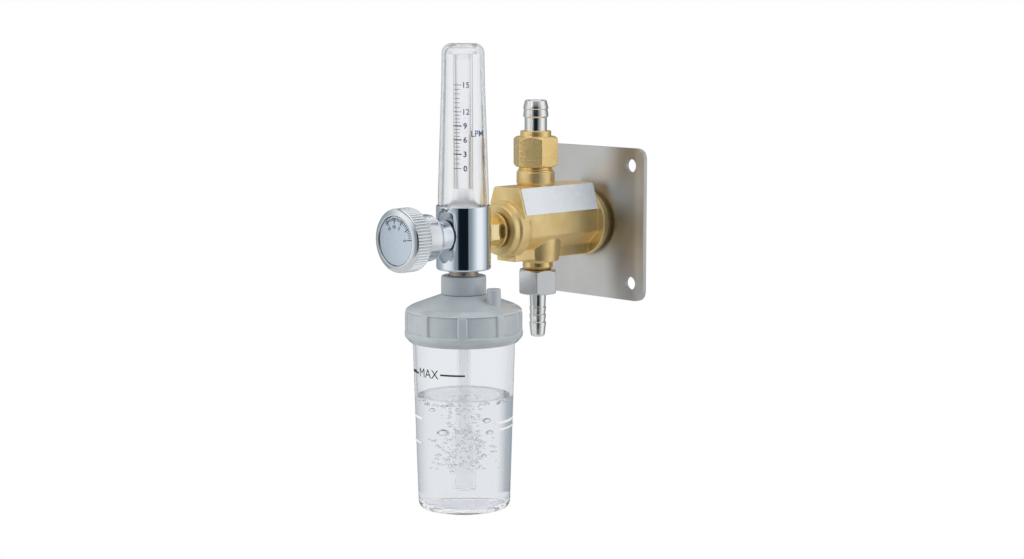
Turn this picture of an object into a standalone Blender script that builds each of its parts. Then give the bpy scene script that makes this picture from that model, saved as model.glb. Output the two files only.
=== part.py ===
"""Oxygen flowmeter on its wall plate, with a needle valve, a flow tube and a humidifier bottle.

Metres, +Z up. The origin is the centre of the wall plate's back face. The wall is the plane Y = 0, and
everything stands out of it along -Y. The flange, the adaptor and the knob share one axis at Z = 0.
A value that ends in OUT is a distance from the wall, and one that ends in Z is a height.
"""

import math

import bmesh
import bpy
from mathutils import Vector

# General fits and mesh fineness
CLEAR = 0.0003
OVERRUN = 0.0010
MERGE = 0.0000002
FINE_STEPS = 28
ROUND_STEPS = 20
SMALL_STEPS = 14
BORE_STEPS = 8
CAP_STEPS = 36
ARC_STEPS = 2

# Wall plate and the screws that hold the casting to it
PLATE_SIDE = 0.0940
PLATE_THICK = 0.0030
PLATE_CORNER = 0.0068
PLATE_EDGE = 0.0005
PLATE_HOLE_INSET = 0.0107
PLATE_HOLE_RADIUS = 0.0042
PLATE_HOLE_CHAMFER = 0.0005
SCREW_CIRCLE_RADIUS = 0.0112
SCREW_HEAD_RADIUS = 0.0028
SCREW_SHANK_RADIUS = 0.0015
SCREW_HEAD_HEIGHT = 0.0015
SCREW_LENGTH = 0.0100
SCREW_SINK = 0.0002
SCREW_SOCKET_RADIUS = 0.0011
SCREW_SOCKET_DEPTH = 0.0009
SCREW_END_ROOM = 0.0012

# Cast brass valve body
REGISTER_RADIUS = 0.0170
REGISTER_HEIGHT = 0.0024
FLANGE_RADIUS = 0.0212
FLANGE_THICK = 0.0042
FLANGE_ROUND = 0.0012
BODY_LENGTH = 0.0645
BODY_TOP_HALF = 0.0104
BODY_TOP_Z = 0.0252
BODY_SIDE_HALF = 0.0158
BODY_SHOULDER_Z = 0.0084
BODY_CHINE_Z = -0.0049
BODY_KEEL_HALF = 0.0078
BODY_KEEL_TOP_Z = -0.0126
BODY_KEEL_Z = -0.0194
BODY_ROUND = 0.0016
FRONT_BOSS_RADIUS = 0.0170
FRONT_BOSS_LENGTH = 0.0075
FRONT_BOSS_RIM = 0.0026
FRONT_BOSS_STEP = 0.0014
FRONT_BOSS_ROUND = 0.0008
PASSAGE_RADIUS = 0.0030
PASSAGE_END_ROOM = 0.0033
CROSSING_SHARE = 0.4
BODY_END_ROUND = 0.0009

# Inlet on top of the casting
INLET_OUT = 0.0490
INLET_BOSS_RADIUS = 0.0121
INLET_BOSS_Z = 0.0338
INLET_NECK_RADIUS = 0.0102
INLET_NECK_LENGTH = 0.0023
INLET_THREAD_RADIUS = 0.0080
INLET_THREAD_LENGTH = 0.0119
INLET_BORE_RADIUS = 0.0042
INLET_NUT_FLATS = 0.0243
INLET_NUT_LENGTH = 0.0185
INLET_NUT_CHAMFER = 0.0014
INLET_COLLAR_RADIUS = 0.0094
INLET_COLLAR_LENGTH = 0.0034
INLET_COLLAR_CHAMFER = 0.0007
INLET_STEM_RADIUS = 0.0068
INLET_STEM_LENGTH = 0.0085
INLET_BARB_RADIUS = 0.0076
INLET_BARB_LENGTH = 0.0044
INLET_BARB_ROOT = 0.0065
INLET_TIP_LENGTH = 0.0056
INLET_TIP_RADIUS = 0.0059
TAIL_COLLAR_THICK = 0.0030
WASHER_THICK = 0.0010
BARB_EDGE = 0.0003

# Outlet below the casting
OUTLET_OUT = 0.0470
OUTLET_BOSS_RADIUS = 0.0132
OUTLET_BOSS_Z = -0.0212
OUTLET_BOSS_TAPER = 0.0030
OUTLET_NECK_RADIUS = 0.0089
OUTLET_NECK_LENGTH = 0.0049
OUTLET_THREAD_RADIUS = 0.0070
OUTLET_THREAD_LENGTH = 0.0089
OUTLET_BORE_RADIUS = 0.0025
OUTLET_NUT_FLATS = 0.0222
OUTLET_NUT_LENGTH = 0.0151
OUTLET_NUT_CHAMFER = 0.0012
OUTLET_NUT_TURN = math.radians(-51)
OUTLET_STEM_RADIUS = 0.0049
OUTLET_STEM_LENGTH = 0.0099
OUTLET_BARB_RADIUS = 0.0050
OUTLET_BARB_LENGTH = 0.0050
OUTLET_BARB_ROOT = 0.0042
OUTLET_BARBS = 3
OUTLET_TIP_LENGTH = 0.0068
OUTLET_TIP_RADIUS = 0.0037

# Hex adaptor between the casting and the flowmeter
ADAPTOR_FLATS = 0.0161
ADAPTOR_CHAMFER = 0.0008
ADAPTOR_COLLAR_RADIUS = 0.0106
ADAPTOR_COLLAR_THICK = 0.0019
ADAPTOR_HEX_LENGTH = 0.0095
ADAPTOR_THREAD_RADIUS = 0.0060
ADAPTOR_REAR_THREAD = 0.0082
ADAPTOR_FRONT_THREAD = 0.0064
ADAPTOR_SEAL_RADIUS = 0.0097
ADAPTOR_SEAL_THICK = 0.0007
THREAD_END_ROOM = 0.0009

# Chrome flowmeter body, a barrel on a vertical axis
FLOW_RADIUS = 0.01615
FLOW_TOP_Z = 0.0170
FLOW_BOTTOM_Z = -0.0210
FLOW_ROUND = 0.0010
SPOT_RADIUS = 0.0157
SPOT_DEEP = 0.0145
REAR_SPOT_RADIUS = 0.0102
REAR_SPOT_DEEP = 0.0149
REAR_BORE_RADIUS = 0.0025
RISER_RADIUS = 0.0025
CHAMBER_RADIUS = 0.0073
CHAMBER_DEEP = 0.0080
DOWN_BORE_RADIUS = 0.0012
DOWN_BORE_DEEP = 0.0098
SEAT_RADIUS = 0.0014
OUT_BORE_RADIUS = 0.0016
OUT_BORE_DEEP = 0.0055
SOCKET_DEPTH = 0.0035
PORT_DEPTH = 0.0090

# Needle valve: bonnet, spindle and seals, measured out from the barrel's axis
BONNET_THREAD_LENGTH = 0.0027
BONNET_RADIUS = 0.0094
BONNET_LENGTH = 0.0140
BONNET_ROUND = 0.0006
BONNET_SEAL_THICK = 0.0012
BONNET_SEAL_RADIUS = 0.0088
SPINDLE_RADIUS = 0.0032
NEEDLE_TIP_RADIUS = 0.0005
NEEDLE_LENGTH = 0.0030
NEEDLE_CONE_LENGTH = 0.0025
ORING_THICK_RADIUS = 0.0005
ORING_SET_BACK = 0.0080
SQUARE_SIDE = 0.0043
SQUARE_LENGTH = 0.0176

# Control knob
KNOB_COVER = 0.0027
KNOB_HUB_RADIUS = 0.0137
KNOB_HUB_LENGTH = 0.0138
KNOB_RADIUS = 0.0187
KNOB_RIM_LENGTH = 0.0112
KNOB_RIM_CHAMFER = 0.0009
KNOB_FACE_RADIUS = 0.0163
KNOB_FACE_CHAMFER = 0.0018
KNOB_EDGE = 0.0006
KNURL_COUNT = 36
KNURL_DEPTH = 0.0008
KNURL_LAND_SHARE = 0.30
KNURL_FLOOR_SHARE = 0.80
KNOB_BACK_GAP = 0.0005
DIAL_RADIUS = 0.0143
DIAL_THICK = 0.0010
DIAL_SINK = 0.0002
DIAL_EDGE = 0.0002
KNOB_SCREW_HEAD_RADIUS = 0.0031
KNOB_SCREW_HEAD_HEIGHT = 0.0020
KNOB_SCREW_SHANK_RADIUS = 0.0013
KNOB_SCREW_SHANK_LENGTH = 0.0090
KNOB_SCREW_SOCKET_RADIUS = 0.0013
KNOB_SCREW_SOCKET_DEPTH = 0.0010
KNOB_SCREW_ROOM = 0.0010

# Flow tube: cover, metering tube, float and stop
COVER_FOOT_RADIUS = 0.0151
COVER_NECK_RADIUS = 0.0127
COVER_NECK_Z = 0.0900
COVER_SHOULDER_RADIUS = 0.0125
COVER_TOP_Z = 0.1117
COVER_CROWN = 0.0008
COVER_CORNER = 0.0050
COVER_FOOT_LENGTH = 0.0060
COVER_TOP_WALL = 0.0034
COVER_NECK_WALL = 0.0024
COVER_FOOT_WALL = 0.0032
COVER_INNER_CORNER = 0.0026
METER_RADIUS = 0.0058
METER_TOP_BORE = 0.0043
METER_LOW_BORE = 0.0035
METER_INLET_BORE = 0.0016
METER_INLET_LENGTH = 0.0022
METER_CONE_LENGTH = 0.0040
METER_FOOT_RADIUS = 0.0097
METER_FOOT_HEIGHT = 0.0070
METER_DOME_ROUND = 0.0042
METER_SHOULDER_HEIGHT = 0.0115
METER_SHOULDER_ROUND = 0.0030
TUBE_SEAL_THICK = 0.0012
TUBE_SEAL_RADIUS = 0.0082
TUBE_SEAL_BORE = 0.0042
FLOAT_RADIUS = 0.0030
STOP_RADIUS = 0.0056
STOP_HEIGHT = 0.0015
STOP_SPIGOT_LENGTH = 0.0033
STOP_BORE = 0.0012
STOP_FIT = 0.0004

# Outlet stub, swivel nut and seal above the humidifier
STUB_THREAD_RADIUS = 0.0071
STUB_THREAD_LENGTH = 0.0090
STUB_RADIUS = 0.0089
STUB_LENGTH = 0.0092
STUB_BORE = 0.0030
STUB_CHAMFER = 0.0004
NIPPLE_SEAL_THICK = 0.0010
NIPPLE_SEAL_RADIUS = 0.0080
NIPPLE_SEAL_BORE = 0.0036
NUT_RADIUS = 0.01335
NUT_TOP_GAP = 0.0036
NUT_LIP = 0.0014
NUT_ROUND = 0.0012

# Humidifier cap
CAP_FLANGE_RADIUS = 0.0088
CAP_FLANGE_THICK = 0.0015
CAP_NECK_RADIUS = 0.0073
CAP_BORE = 0.0026
CAP_TOP_RADIUS = 0.0132
CAP_CONE_WALL = 0.0004
CAP_CONE_DROP = 0.0072
CAP_SHOULDER_WALL = 0.0034
CAP_SHOULDER_DROP = 0.0034
CAP_SKIRT_WALL = 0.0037
CAP_SKIRT_LENGTH = 0.0120
CAP_LIP_WALL = 0.0045
CAP_LIP_HEIGHT = 0.0026
CAP_LIP_TAPER = 0.0040
CAP_LIP_END_WALL = 0.0010
CAP_ROUND = 0.0014
CAP_WALL = 0.0029
CAP_SEAT_WALL = 0.0036
CAP_HUB_RADIUS = 0.0066
CAP_HUB_LENGTH = 0.0175
CAP_SOCKET_DEPTH = 0.0120
CAP_RIBS = 9
CAP_RIB_WIDTH = 0.0048
CAP_RIB_PROUD = 0.0007
CAP_RIB_ROUND = 0.0008
CAP_RIB_START = math.radians(-45)
SPIGOT_AZIMUTH = math.radians(7)
SPIGOT_INSET = 0.0083
SPIGOT_RADIUS = 0.00415
SPIGOT_BORE = 0.0021
SPIGOT_Z = -0.0308
SPIGOT_ROUND = 0.0005

# Bottle, gasket, dip tube and diffuser
BOTTLE_RADIUS = 0.0303
BOTTLE_TAPER = 0.0030
BOTTLE_HEIGHT = 0.1155
BOTTLE_STRAIGHT = 0.0180
BOTTLE_WALL = 0.0018
BOTTLE_FLOOR = 0.0030
BOTTLE_CORNER = 0.0042
BOTTLE_HEEL_INSET = 0.0058
BOTTLE_PUSH_UP = 0.0010
BOTTLE_INNER_CORNER = 0.0034
GASKET_THICK = 0.0015
GASKET_WIDTH = 0.0031
DIP_RADIUS = 0.0040
DIP_BORE = 0.0028
DIFFUSER_RADIUS = 0.0059
DIFFUSER_LENGTH = 0.0360
DIFFUSER_FLOOR_GAP = 0.0080
DIFFUSER_SOCKET = 0.0120
DIFFUSER_BORE = 0.0026
DIFFUSER_END_WALL = 0.0040
DIFFUSER_ROUND = 0.0015

# Places that follow from those sizes
REGISTER_OUT = PLATE_THICK + CLEAR
FLANGE_OUT = REGISTER_OUT + REGISTER_HEIGHT
BODY_OUT = FLANGE_OUT + FLANGE_THICK
BODY_FACE_OUT = BODY_OUT + BODY_LENGTH
BOSS_FACE_OUT = BODY_FACE_OUT + FRONT_BOSS_LENGTH
INLET_NECK_Z = INLET_BOSS_Z + INLET_NECK_LENGTH
INLET_THREAD_Z = INLET_NECK_Z + INLET_THREAD_LENGTH
OUTLET_NECK_Z = OUTLET_BOSS_Z - OUTLET_NECK_LENGTH
OUTLET_THREAD_Z = OUTLET_NECK_Z - OUTLET_THREAD_LENGTH
ADAPTOR_COLLAR_OUT = BOSS_FACE_OUT + ADAPTOR_SEAL_THICK + 2 * CLEAR
ADAPTOR_HEX_OUT = ADAPTOR_COLLAR_OUT + ADAPTOR_COLLAR_THICK
ADAPTOR_END_OUT = ADAPTOR_HEX_OUT + ADAPTOR_HEX_LENGTH
FLOW_OUT = ADAPTOR_END_OUT + CLEAR + REAR_SPOT_DEEP
SOCKET_Z = FLOW_TOP_Z - SOCKET_DEPTH
PORT_Z = FLOW_BOTTOM_Z + PORT_DEPTH
PLATE_HOLE_PITCH = PLATE_SIDE - 2 * PLATE_HOLE_INSET
BONNET_SEAL_OUT = FLOW_OUT + SPOT_DEEP + CLEAR
BONNET_OUT = BONNET_SEAL_OUT + BONNET_SEAL_THICK + CLEAR
BONNET_END_OUT = BONNET_OUT + BONNET_LENGTH
KNOB_WEB_OUT = BONNET_END_OUT + KNOB_BACK_GAP + 2 * CLEAR
KNOB_BACK_OUT = BONNET_END_OUT - KNOB_COVER
KNOB_RIM_OUT = KNOB_BACK_OUT + KNOB_HUB_LENGTH
KNOB_FACE_OUT = KNOB_RIM_OUT + KNOB_RIM_LENGTH + KNOB_FACE_CHAMFER
DIAL_OUT = KNOB_FACE_OUT - DIAL_SINK - DIAL_THICK
DIAL_SEAT_OUT = DIAL_OUT - CLEAR
SQUARE_OUT = KNOB_WEB_OUT - CLEAR
SQUARE_END_OUT = SQUARE_OUT + SQUARE_LENGTH
SCREW_SEAT_OUT = SQUARE_END_OUT + CLEAR
TUBE_SEAL_Z = SOCKET_Z + CLEAR
METER_Z = TUBE_SEAL_Z + TUBE_SEAL_THICK + CLEAR
COVER_INNER_Z = COVER_TOP_Z - COVER_TOP_WALL
STOP_TOP_Z = COVER_INNER_Z - COVER_CROWN - CLEAR
METER_TOP_Z = STOP_TOP_Z - STOP_HEIGHT - CLEAR
STUB_TOP_Z = FLOW_BOTTOM_Z - CLEAR
STUB_END_Z = STUB_TOP_Z - STUB_LENGTH
NIPPLE_SEAL_Z = STUB_END_Z - CLEAR
CAP_FLANGE_Z = NIPPLE_SEAL_Z - NIPPLE_SEAL_THICK - CLEAR
NUT_TOP_Z = FLOW_BOTTOM_Z - NUT_TOP_GAP
NUT_LIP_Z = CAP_FLANGE_Z - CAP_FLANGE_THICK - CLEAR
NUT_END_Z = NUT_LIP_Z - NUT_LIP
CAP_TOP_Z = NUT_END_Z - CLEAR
CAP_CONE_Z = CAP_TOP_Z - CAP_CONE_DROP
CAP_SHOULDER_Z = CAP_CONE_Z - CAP_SHOULDER_DROP
CAP_SKIRT_Z = CAP_SHOULDER_Z - CAP_SKIRT_LENGTH
CAP_LIP_Z = CAP_SKIRT_Z - CAP_LIP_HEIGHT
CAP_END_Z = CAP_LIP_Z - CAP_LIP_TAPER
CAP_SEAT_Z = CAP_CONE_Z - CAP_SEAT_WALL
CAP_HUB_Z = CAP_TOP_Z - CAP_WALL - CAP_HUB_LENGTH
CAP_SOCKET_Z = CAP_HUB_Z + CAP_SOCKET_DEPTH
CAP_INNER_RADIUS = BOTTLE_RADIUS + CLEAR
CAP_CONE_RADIUS = CAP_INNER_RADIUS + CAP_CONE_WALL
CAP_SHOULDER_RADIUS = CAP_INNER_RADIUS + CAP_SHOULDER_WALL
CAP_SKIRT_RADIUS = CAP_INNER_RADIUS + CAP_SKIRT_WALL
CAP_LIP_RADIUS = CAP_INNER_RADIUS + CAP_LIP_WALL
CAP_LIP_END_RADIUS = CAP_INNER_RADIUS + CAP_LIP_END_WALL
SPIGOT_SET_OUT = CAP_CONE_RADIUS - SPIGOT_INSET
GASKET_Z = CAP_SEAT_Z - CLEAR
GASKET_BORE = BOTTLE_RADIUS - GASKET_WIDTH
BOTTLE_TOP_Z = GASKET_Z - GASKET_THICK - CLEAR
BOTTLE_BASE_Z = BOTTLE_TOP_Z - BOTTLE_HEIGHT
BOTTLE_FOOT_RADIUS = BOTTLE_RADIUS - BOTTLE_TAPER
BOTTLE_HEEL_RADIUS = BOTTLE_FOOT_RADIUS - BOTTLE_HEEL_INSET
BOTTLE_FLOOR_Z = BOTTLE_BASE_Z + BOTTLE_FLOOR
DIFFUSER_END_Z = BOTTLE_FLOOR_Z + DIFFUSER_FLOOR_GAP
DIFFUSER_TOP_Z = DIFFUSER_END_Z + DIFFUSER_LENGTH
DIP_TOP_Z = CAP_SOCKET_Z - CLEAR
DIP_END_Z = DIFFUSER_TOP_Z - DIFFUSER_SOCKET + CLEAR
FLOW_AXIS = (0, -FLOW_OUT, 0)
WALL_CENTRE = (0, 0, 0)
UP = (0, 0, 0)
OUTWARD = (math.pi / 2, 0, 0)


def clear_scene():
    """Start from an empty file."""
    for item in list(bpy.data.objects):
        bpy.data.objects.remove(item, do_unlink=True)


def finish(name, colour, roughness, metallic, alpha=1.0):
    """A Principled material."""
    material = bpy.data.materials.new(name)
    material.use_nodes = True
    shader = material.node_tree.nodes["Principled BSDF"]
    shader.inputs["Base Color"].default_value = (*colour, 1.0)
    shader.inputs["Roughness"].default_value = roughness
    shader.inputs["Metallic"].default_value = metallic
    shader.inputs["Alpha"].default_value = alpha
    return material


def rounded(corners, closed=False):
    """Turn corners (x, y, radius) into points, with an arc at each corner that has a radius.

    An arc never takes more than half of either side that meets at its corner.
    """
    points = []
    for index, corner in enumerate(corners):
        here = Vector(corner[:2])
        radius = corner[2] if len(corner) > 2 else 0
        if not radius or (not closed and index in (0, len(corners) - 1)):
            points.append(tuple(here))
            continue
        before = Vector(corners[index - 1][:2]) - here
        after = Vector(corners[(index + 1) % len(corners)][:2]) - here
        half = before.angle(after) / 2
        reach = min(radius / math.tan(half), before.length / 2, after.length / 2)
        centre = here + (before.normalized() + after.normalized()).normalized() * (reach / math.cos(half))
        start = here + before.normalized() * reach - centre
        turn = math.pi - 2 * half
        if before.x * after.y - before.y * after.x > 0:
            turn = -turn
        for step in range(ARC_STEPS + 1):
            angle = turn * step / ARC_STEPS
            spoke = Vector((
                start.x * math.cos(angle) - start.y * math.sin(angle),
                start.x * math.sin(angle) + start.y * math.cos(angle),
            ))
            points.append(tuple(centre + spoke))
    return points


def new_object(name, mesh, material, location, rotation):
    """Put a finished bmesh into the scene as one smooth-shaded object."""
    bmesh.ops.remove_doubles(mesh, verts=mesh.verts, dist=MERGE)
    bmesh.ops.dissolve_degenerate(mesh, edges=mesh.edges, dist=MERGE)
    bmesh.ops.recalc_face_normals(mesh, faces=mesh.faces)
    data = bpy.data.meshes.new(name)
    mesh.to_mesh(data)
    mesh.free()
    data.shade_smooth()
    data.set_sharp_from_angle(angle=math.radians(30))
    item = bpy.data.objects.new(name, data)
    bpy.context.scene.collection.objects.link(item)
    item.location = location
    item.rotation_euler = rotation
    if material:
        data.materials.append(material)
    return item


def turned(name, section, material, location=FLOW_AXIS, rotation=UP, steps=ROUND_STEPS):
    """Spin a half-section of (radius, along) points about the local Z axis.

    A section that starts and ends on the axis makes a solid, and any other is closed into a ring.
    """
    mesh = bmesh.new()
    points = [mesh.verts.new((radius, 0, along)) for radius, along in section]
    edges = [mesh.edges.new(pair) for pair in zip(points, points[1:])]
    if section[0][0] > 0 and section[-1][0] > 0:
        edges.append(mesh.edges.new((points[-1], points[0])))
    bmesh.ops.spin(
        mesh, geom=points + edges, cent=(0, 0, 0), axis=(0, 0, 1), angle=2 * math.pi, steps=steps
    )
    return new_object(name, mesh, material, location, rotation)


def extruded(name, outline, low, high, material, location=WALL_CENTRE, rotation=OUTWARD):
    """Extrude a closed outline along the local Z axis."""
    mesh = bmesh.new()
    base = mesh.faces.new([mesh.verts.new((x, y, low)) for x, y in outline])
    grown = bmesh.ops.extrude_face_region(mesh, geom=[base])
    top = [item for item in grown["geom"] if isinstance(item, bmesh.types.BMVert)]
    bmesh.ops.translate(mesh, verts=top, vec=(0, 0, high - low))
    return new_object(name, mesh, material, location, rotation)


def combine(item, other, operation):
    """Add, cut or intersect by a helper, which stays out of the finished model."""
    modifier = item.modifiers.new(other.name, "BOOLEAN")
    modifier.operation = operation
    modifier.object = other
    other.hide_render = True
    other.display_type = "WIRE"


def drill(item, radius, start, end, location=FLOW_AXIS, rotation=UP, steps=BORE_STEPS):
    """Cut a round hole from start to end along the local Z axis of the given place."""
    section = [(0, start), (radius, start), (radius, end), (0, end)]
    cutter = turned(item.name + "_bore", section, None, location, rotation, steps)
    combine(item, cutter, "DIFFERENCE")


def polygon(count, radius, turn=0.0):
    """Corners of a regular polygon."""
    angles = [turn + 2 * math.pi * step / count for step in range(count)]
    return [(radius * math.cos(angle), radius * math.sin(angle)) for angle in angles]


def hexagon(flats, turn=0.0):
    """Corners of a hexagon of the given width across its flats. The first lies at the angle turn."""
    return polygon(6, flats / math.sqrt(3), turn)


def soften(item, width, angle):
    """Round the edges that are sharper than the angle."""
    modifier = item.modifiers.new("Bevel", "BEVEL")
    modifier.width = width
    modifier.segments = 2
    modifier.limit_method = "ANGLE"
    modifier.angle_limit = angle


def ring(name, inner, outer, low, high, material, location=FLOW_AXIS, rotation=UP, steps=ROUND_STEPS):
    """A plain flat ring."""
    section = [(inner, low), (outer, low), (outer, high), (inner, high)]
    return turned(name, section, material, location, rotation, steps)


def parented(name, place, children):
    """An empty on a joint's axis that carries the pieces which move with that joint."""
    carrier = bpy.data.objects.new(name, None)
    bpy.context.scene.collection.objects.link(carrier)
    carrier.location = place
    bpy.context.view_layer.update()
    for child in children:
        child.parent = carrier
        child.matrix_parent_inverse = carrier.matrix_world.inverted()


def screw_places():
    """Centres of the flange screws, on the diagonals of the plate."""
    return polygon(4, SCREW_CIRCLE_RADIUS, math.pi / 4)


def make_wall_plate(steel):
    half = PLATE_SIDE / 2
    corners = [(half, half), (-half, half), (-half, -half), (half, -half)]
    outline = rounded([(x, y, PLATE_CORNER) for x, y in corners], closed=True)
    plate = extruded("wall_plate", outline, 0, PLATE_THICK, steel)
    soften(plate, PLATE_EDGE, math.radians(60))
    wide = PLATE_HOLE_RADIUS + PLATE_HOLE_CHAMFER
    hole = [
        (0, -OVERRUN),
        (wide, -OVERRUN),
        (wide, 0),
        (PLATE_HOLE_RADIUS, PLATE_HOLE_CHAMFER),
        (PLATE_HOLE_RADIUS, PLATE_THICK - PLATE_HOLE_CHAMFER),
        (wide, PLATE_THICK),
        (wide, PLATE_THICK + OVERRUN),
        (0, PLATE_THICK + OVERRUN),
    ]
    for x, z in polygon(4, PLATE_HOLE_PITCH / math.sqrt(2), math.pi / 4):
        cutter = turned("plate_hole", hole, None, (x, 0, z), OUTWARD, SMALL_STEPS)
        combine(plate, cutter, "DIFFERENCE")
    head = SCREW_HEAD_RADIUS + CLEAR
    shank = SCREW_SHANK_RADIUS + CLEAR
    sink = [
        (0, -OVERRUN),
        (head, -OVERRUN),
        (head, SCREW_SINK),
        (shank, SCREW_SINK + SCREW_HEAD_HEIGHT),
        (shank, PLATE_THICK + OVERRUN),
        (0, PLATE_THICK + OVERRUN),
    ]
    for x, z in screw_places():
        cutter = turned("countersink", sink, None, (x, 0, z), OUTWARD, BORE_STEPS)
        combine(plate, cutter, "DIFFERENCE")


def make_flange_screws(steel):
    section = [
        (0, SCREW_SINK),
        (SCREW_HEAD_RADIUS, SCREW_SINK),
        (SCREW_SHANK_RADIUS, SCREW_SINK + SCREW_HEAD_HEIGHT),
        (SCREW_SHANK_RADIUS, SCREW_LENGTH),
        (0, SCREW_LENGTH),
    ]
    for number, (x, z) in enumerate(screw_places(), 1):
        place = (x, 0, z)
        screw = turned("flange_screw_%d" % number, section, steel, place, OUTWARD, BORE_STEPS)
        socket = extruded(
            "screw_socket",
            polygon(6, SCREW_SOCKET_RADIUS),
            -OVERRUN,
            SCREW_SINK + SCREW_SOCKET_DEPTH,
            None,
            place,
        )
        combine(screw, socket, "DIFFERENCE")


def body_outline():
    """The casting's section square to the wall's normal, mirrored about X = 0."""
    right = [
        (BODY_TOP_HALF, BODY_TOP_Z),
        (BODY_SIDE_HALF, BODY_SHOULDER_Z),
        (BODY_SIDE_HALF, BODY_CHINE_Z),
        (BODY_KEEL_HALF, BODY_KEEL_TOP_Z),
        (BODY_KEEL_HALF, BODY_KEEL_Z),
    ]
    left = [(-x, z) for x, z in reversed(right)]
    return rounded([(x, z, BODY_ROUND) for x, z in right + left], closed=True)


def make_valve_body(brass):
    flange = rounded([
        (0, REGISTER_OUT),
        (REGISTER_RADIUS, REGISTER_OUT),
        (REGISTER_RADIUS, FLANGE_OUT),
        (FLANGE_RADIUS, FLANGE_OUT, FLANGE_ROUND),
        (FLANGE_RADIUS, BODY_OUT, FLANGE_ROUND),
        (0, BODY_OUT),
    ])
    body = turned("valve_body", flange, brass, WALL_CENTRE, OUTWARD, FINE_STEPS)
    middle = (BODY_OUT + FLANGE_OUT) / 2
    bar = extruded("body_bar", body_outline(), middle, BODY_FACE_OUT, None)
    soften(bar, BODY_END_ROUND, math.radians(60))
    combine(body, bar, "UNION")
    step_out = BODY_FACE_OUT + FRONT_BOSS_LENGTH / 2
    boss = rounded([
        (0, BODY_FACE_OUT - FRONT_BOSS_RIM - FRONT_BOSS_STEP),
        (FRONT_BOSS_RADIUS - FRONT_BOSS_RIM, BODY_FACE_OUT - FRONT_BOSS_RIM - FRONT_BOSS_STEP),
        (FRONT_BOSS_RADIUS, BODY_FACE_OUT - FRONT_BOSS_STEP),
        (FRONT_BOSS_RADIUS, step_out + FRONT_BOSS_STEP, FRONT_BOSS_ROUND),
        (FRONT_BOSS_RADIUS - FRONT_BOSS_RIM, BOSS_FACE_OUT - FRONT_BOSS_STEP, FRONT_BOSS_ROUND),
        (ADAPTOR_SEAL_RADIUS + FRONT_BOSS_STEP, BOSS_FACE_OUT - FRONT_BOSS_STEP),
        (ADAPTOR_SEAL_RADIUS + FRONT_BOSS_STEP, BOSS_FACE_OUT),
        (0, BOSS_FACE_OUT),
    ])
    combine(body, turned("front_boss", boss, None, WALL_CENTRE, OUTWARD, FINE_STEPS), "UNION")
    inlet = rounded([
        (0, 0),
        (INLET_BOSS_RADIUS, 0),
        (INLET_BOSS_RADIUS, INLET_BOSS_Z, FRONT_BOSS_ROUND),
        (INLET_NECK_RADIUS, INLET_BOSS_Z),
        (INLET_NECK_RADIUS, INLET_NECK_Z),
        (INLET_THREAD_RADIUS, INLET_NECK_Z),
        (INLET_THREAD_RADIUS, INLET_THREAD_Z),
        (0, INLET_THREAD_Z),
    ])
    inlet_place = (0, -INLET_OUT, 0)
    combine(body, turned("inlet_boss", inlet, None, inlet_place, UP, ROUND_STEPS), "UNION")
    outlet = rounded([
        (0, OUTLET_THREAD_Z),
        (OUTLET_THREAD_RADIUS, OUTLET_THREAD_Z),
        (OUTLET_THREAD_RADIUS, OUTLET_NECK_Z),
        (OUTLET_NECK_RADIUS, OUTLET_NECK_Z),
        (OUTLET_NECK_RADIUS, OUTLET_BOSS_Z),
        (OUTLET_BOSS_RADIUS - OUTLET_BOSS_TAPER, OUTLET_BOSS_Z, FRONT_BOSS_ROUND),
        (OUTLET_BOSS_RADIUS, OUTLET_BOSS_Z + OUTLET_BOSS_TAPER, OUTLET_BOSS_TAPER),
        (OUTLET_BOSS_RADIUS, 0),
        (0, 0),
    ])
    outlet_place = (0, -OUTLET_OUT, 0)
    combine(body, turned("outlet_boss", outlet, None, outlet_place, UP, ROUND_STEPS), "UNION")
    crossing = PASSAGE_RADIUS * CROSSING_SHARE
    drill(body, INLET_BORE_RADIUS, -crossing, INLET_THREAD_Z + OVERRUN, inlet_place)
    drill(body, OUTLET_BORE_RADIUS, OUTLET_THREAD_Z - OVERRUN, crossing, outlet_place)
    deepest = OUTLET_OUT - PASSAGE_END_ROOM
    thread_end = ADAPTOR_COLLAR_OUT - ADAPTOR_REAR_THREAD - THREAD_END_ROOM
    thread_hole = ADAPTOR_THREAD_RADIUS + CLEAR
    drill(body, PASSAGE_RADIUS, deepest, BOSS_FACE_OUT, WALL_CENTRE, OUTWARD)
    drill(body, thread_hole, thread_end, BOSS_FACE_OUT + OVERRUN, WALL_CENTRE, OUTWARD, SMALL_STEPS)
    for x, z in screw_places():
        hole = SCREW_SHANK_RADIUS + CLEAR
        drill(body, hole, 0, SCREW_LENGTH + SCREW_END_ROOM, (x, 0, z), OUTWARD)


def hex_nut(name, flats, section, turn, material, place):
    """A turned blank cut down to a hexagon, which leaves the curved chamfers at its corners."""
    nut = turned(name, section, material, place, UP, ROUND_STEPS)
    low = min(along for _, along in section) - OVERRUN
    high = max(along for _, along in section) + OVERRUN
    sides = extruded(name + "_flats", hexagon(flats, turn), low, high, None, place, UP)
    combine(nut, sides, "INTERSECT")
    return nut


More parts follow.
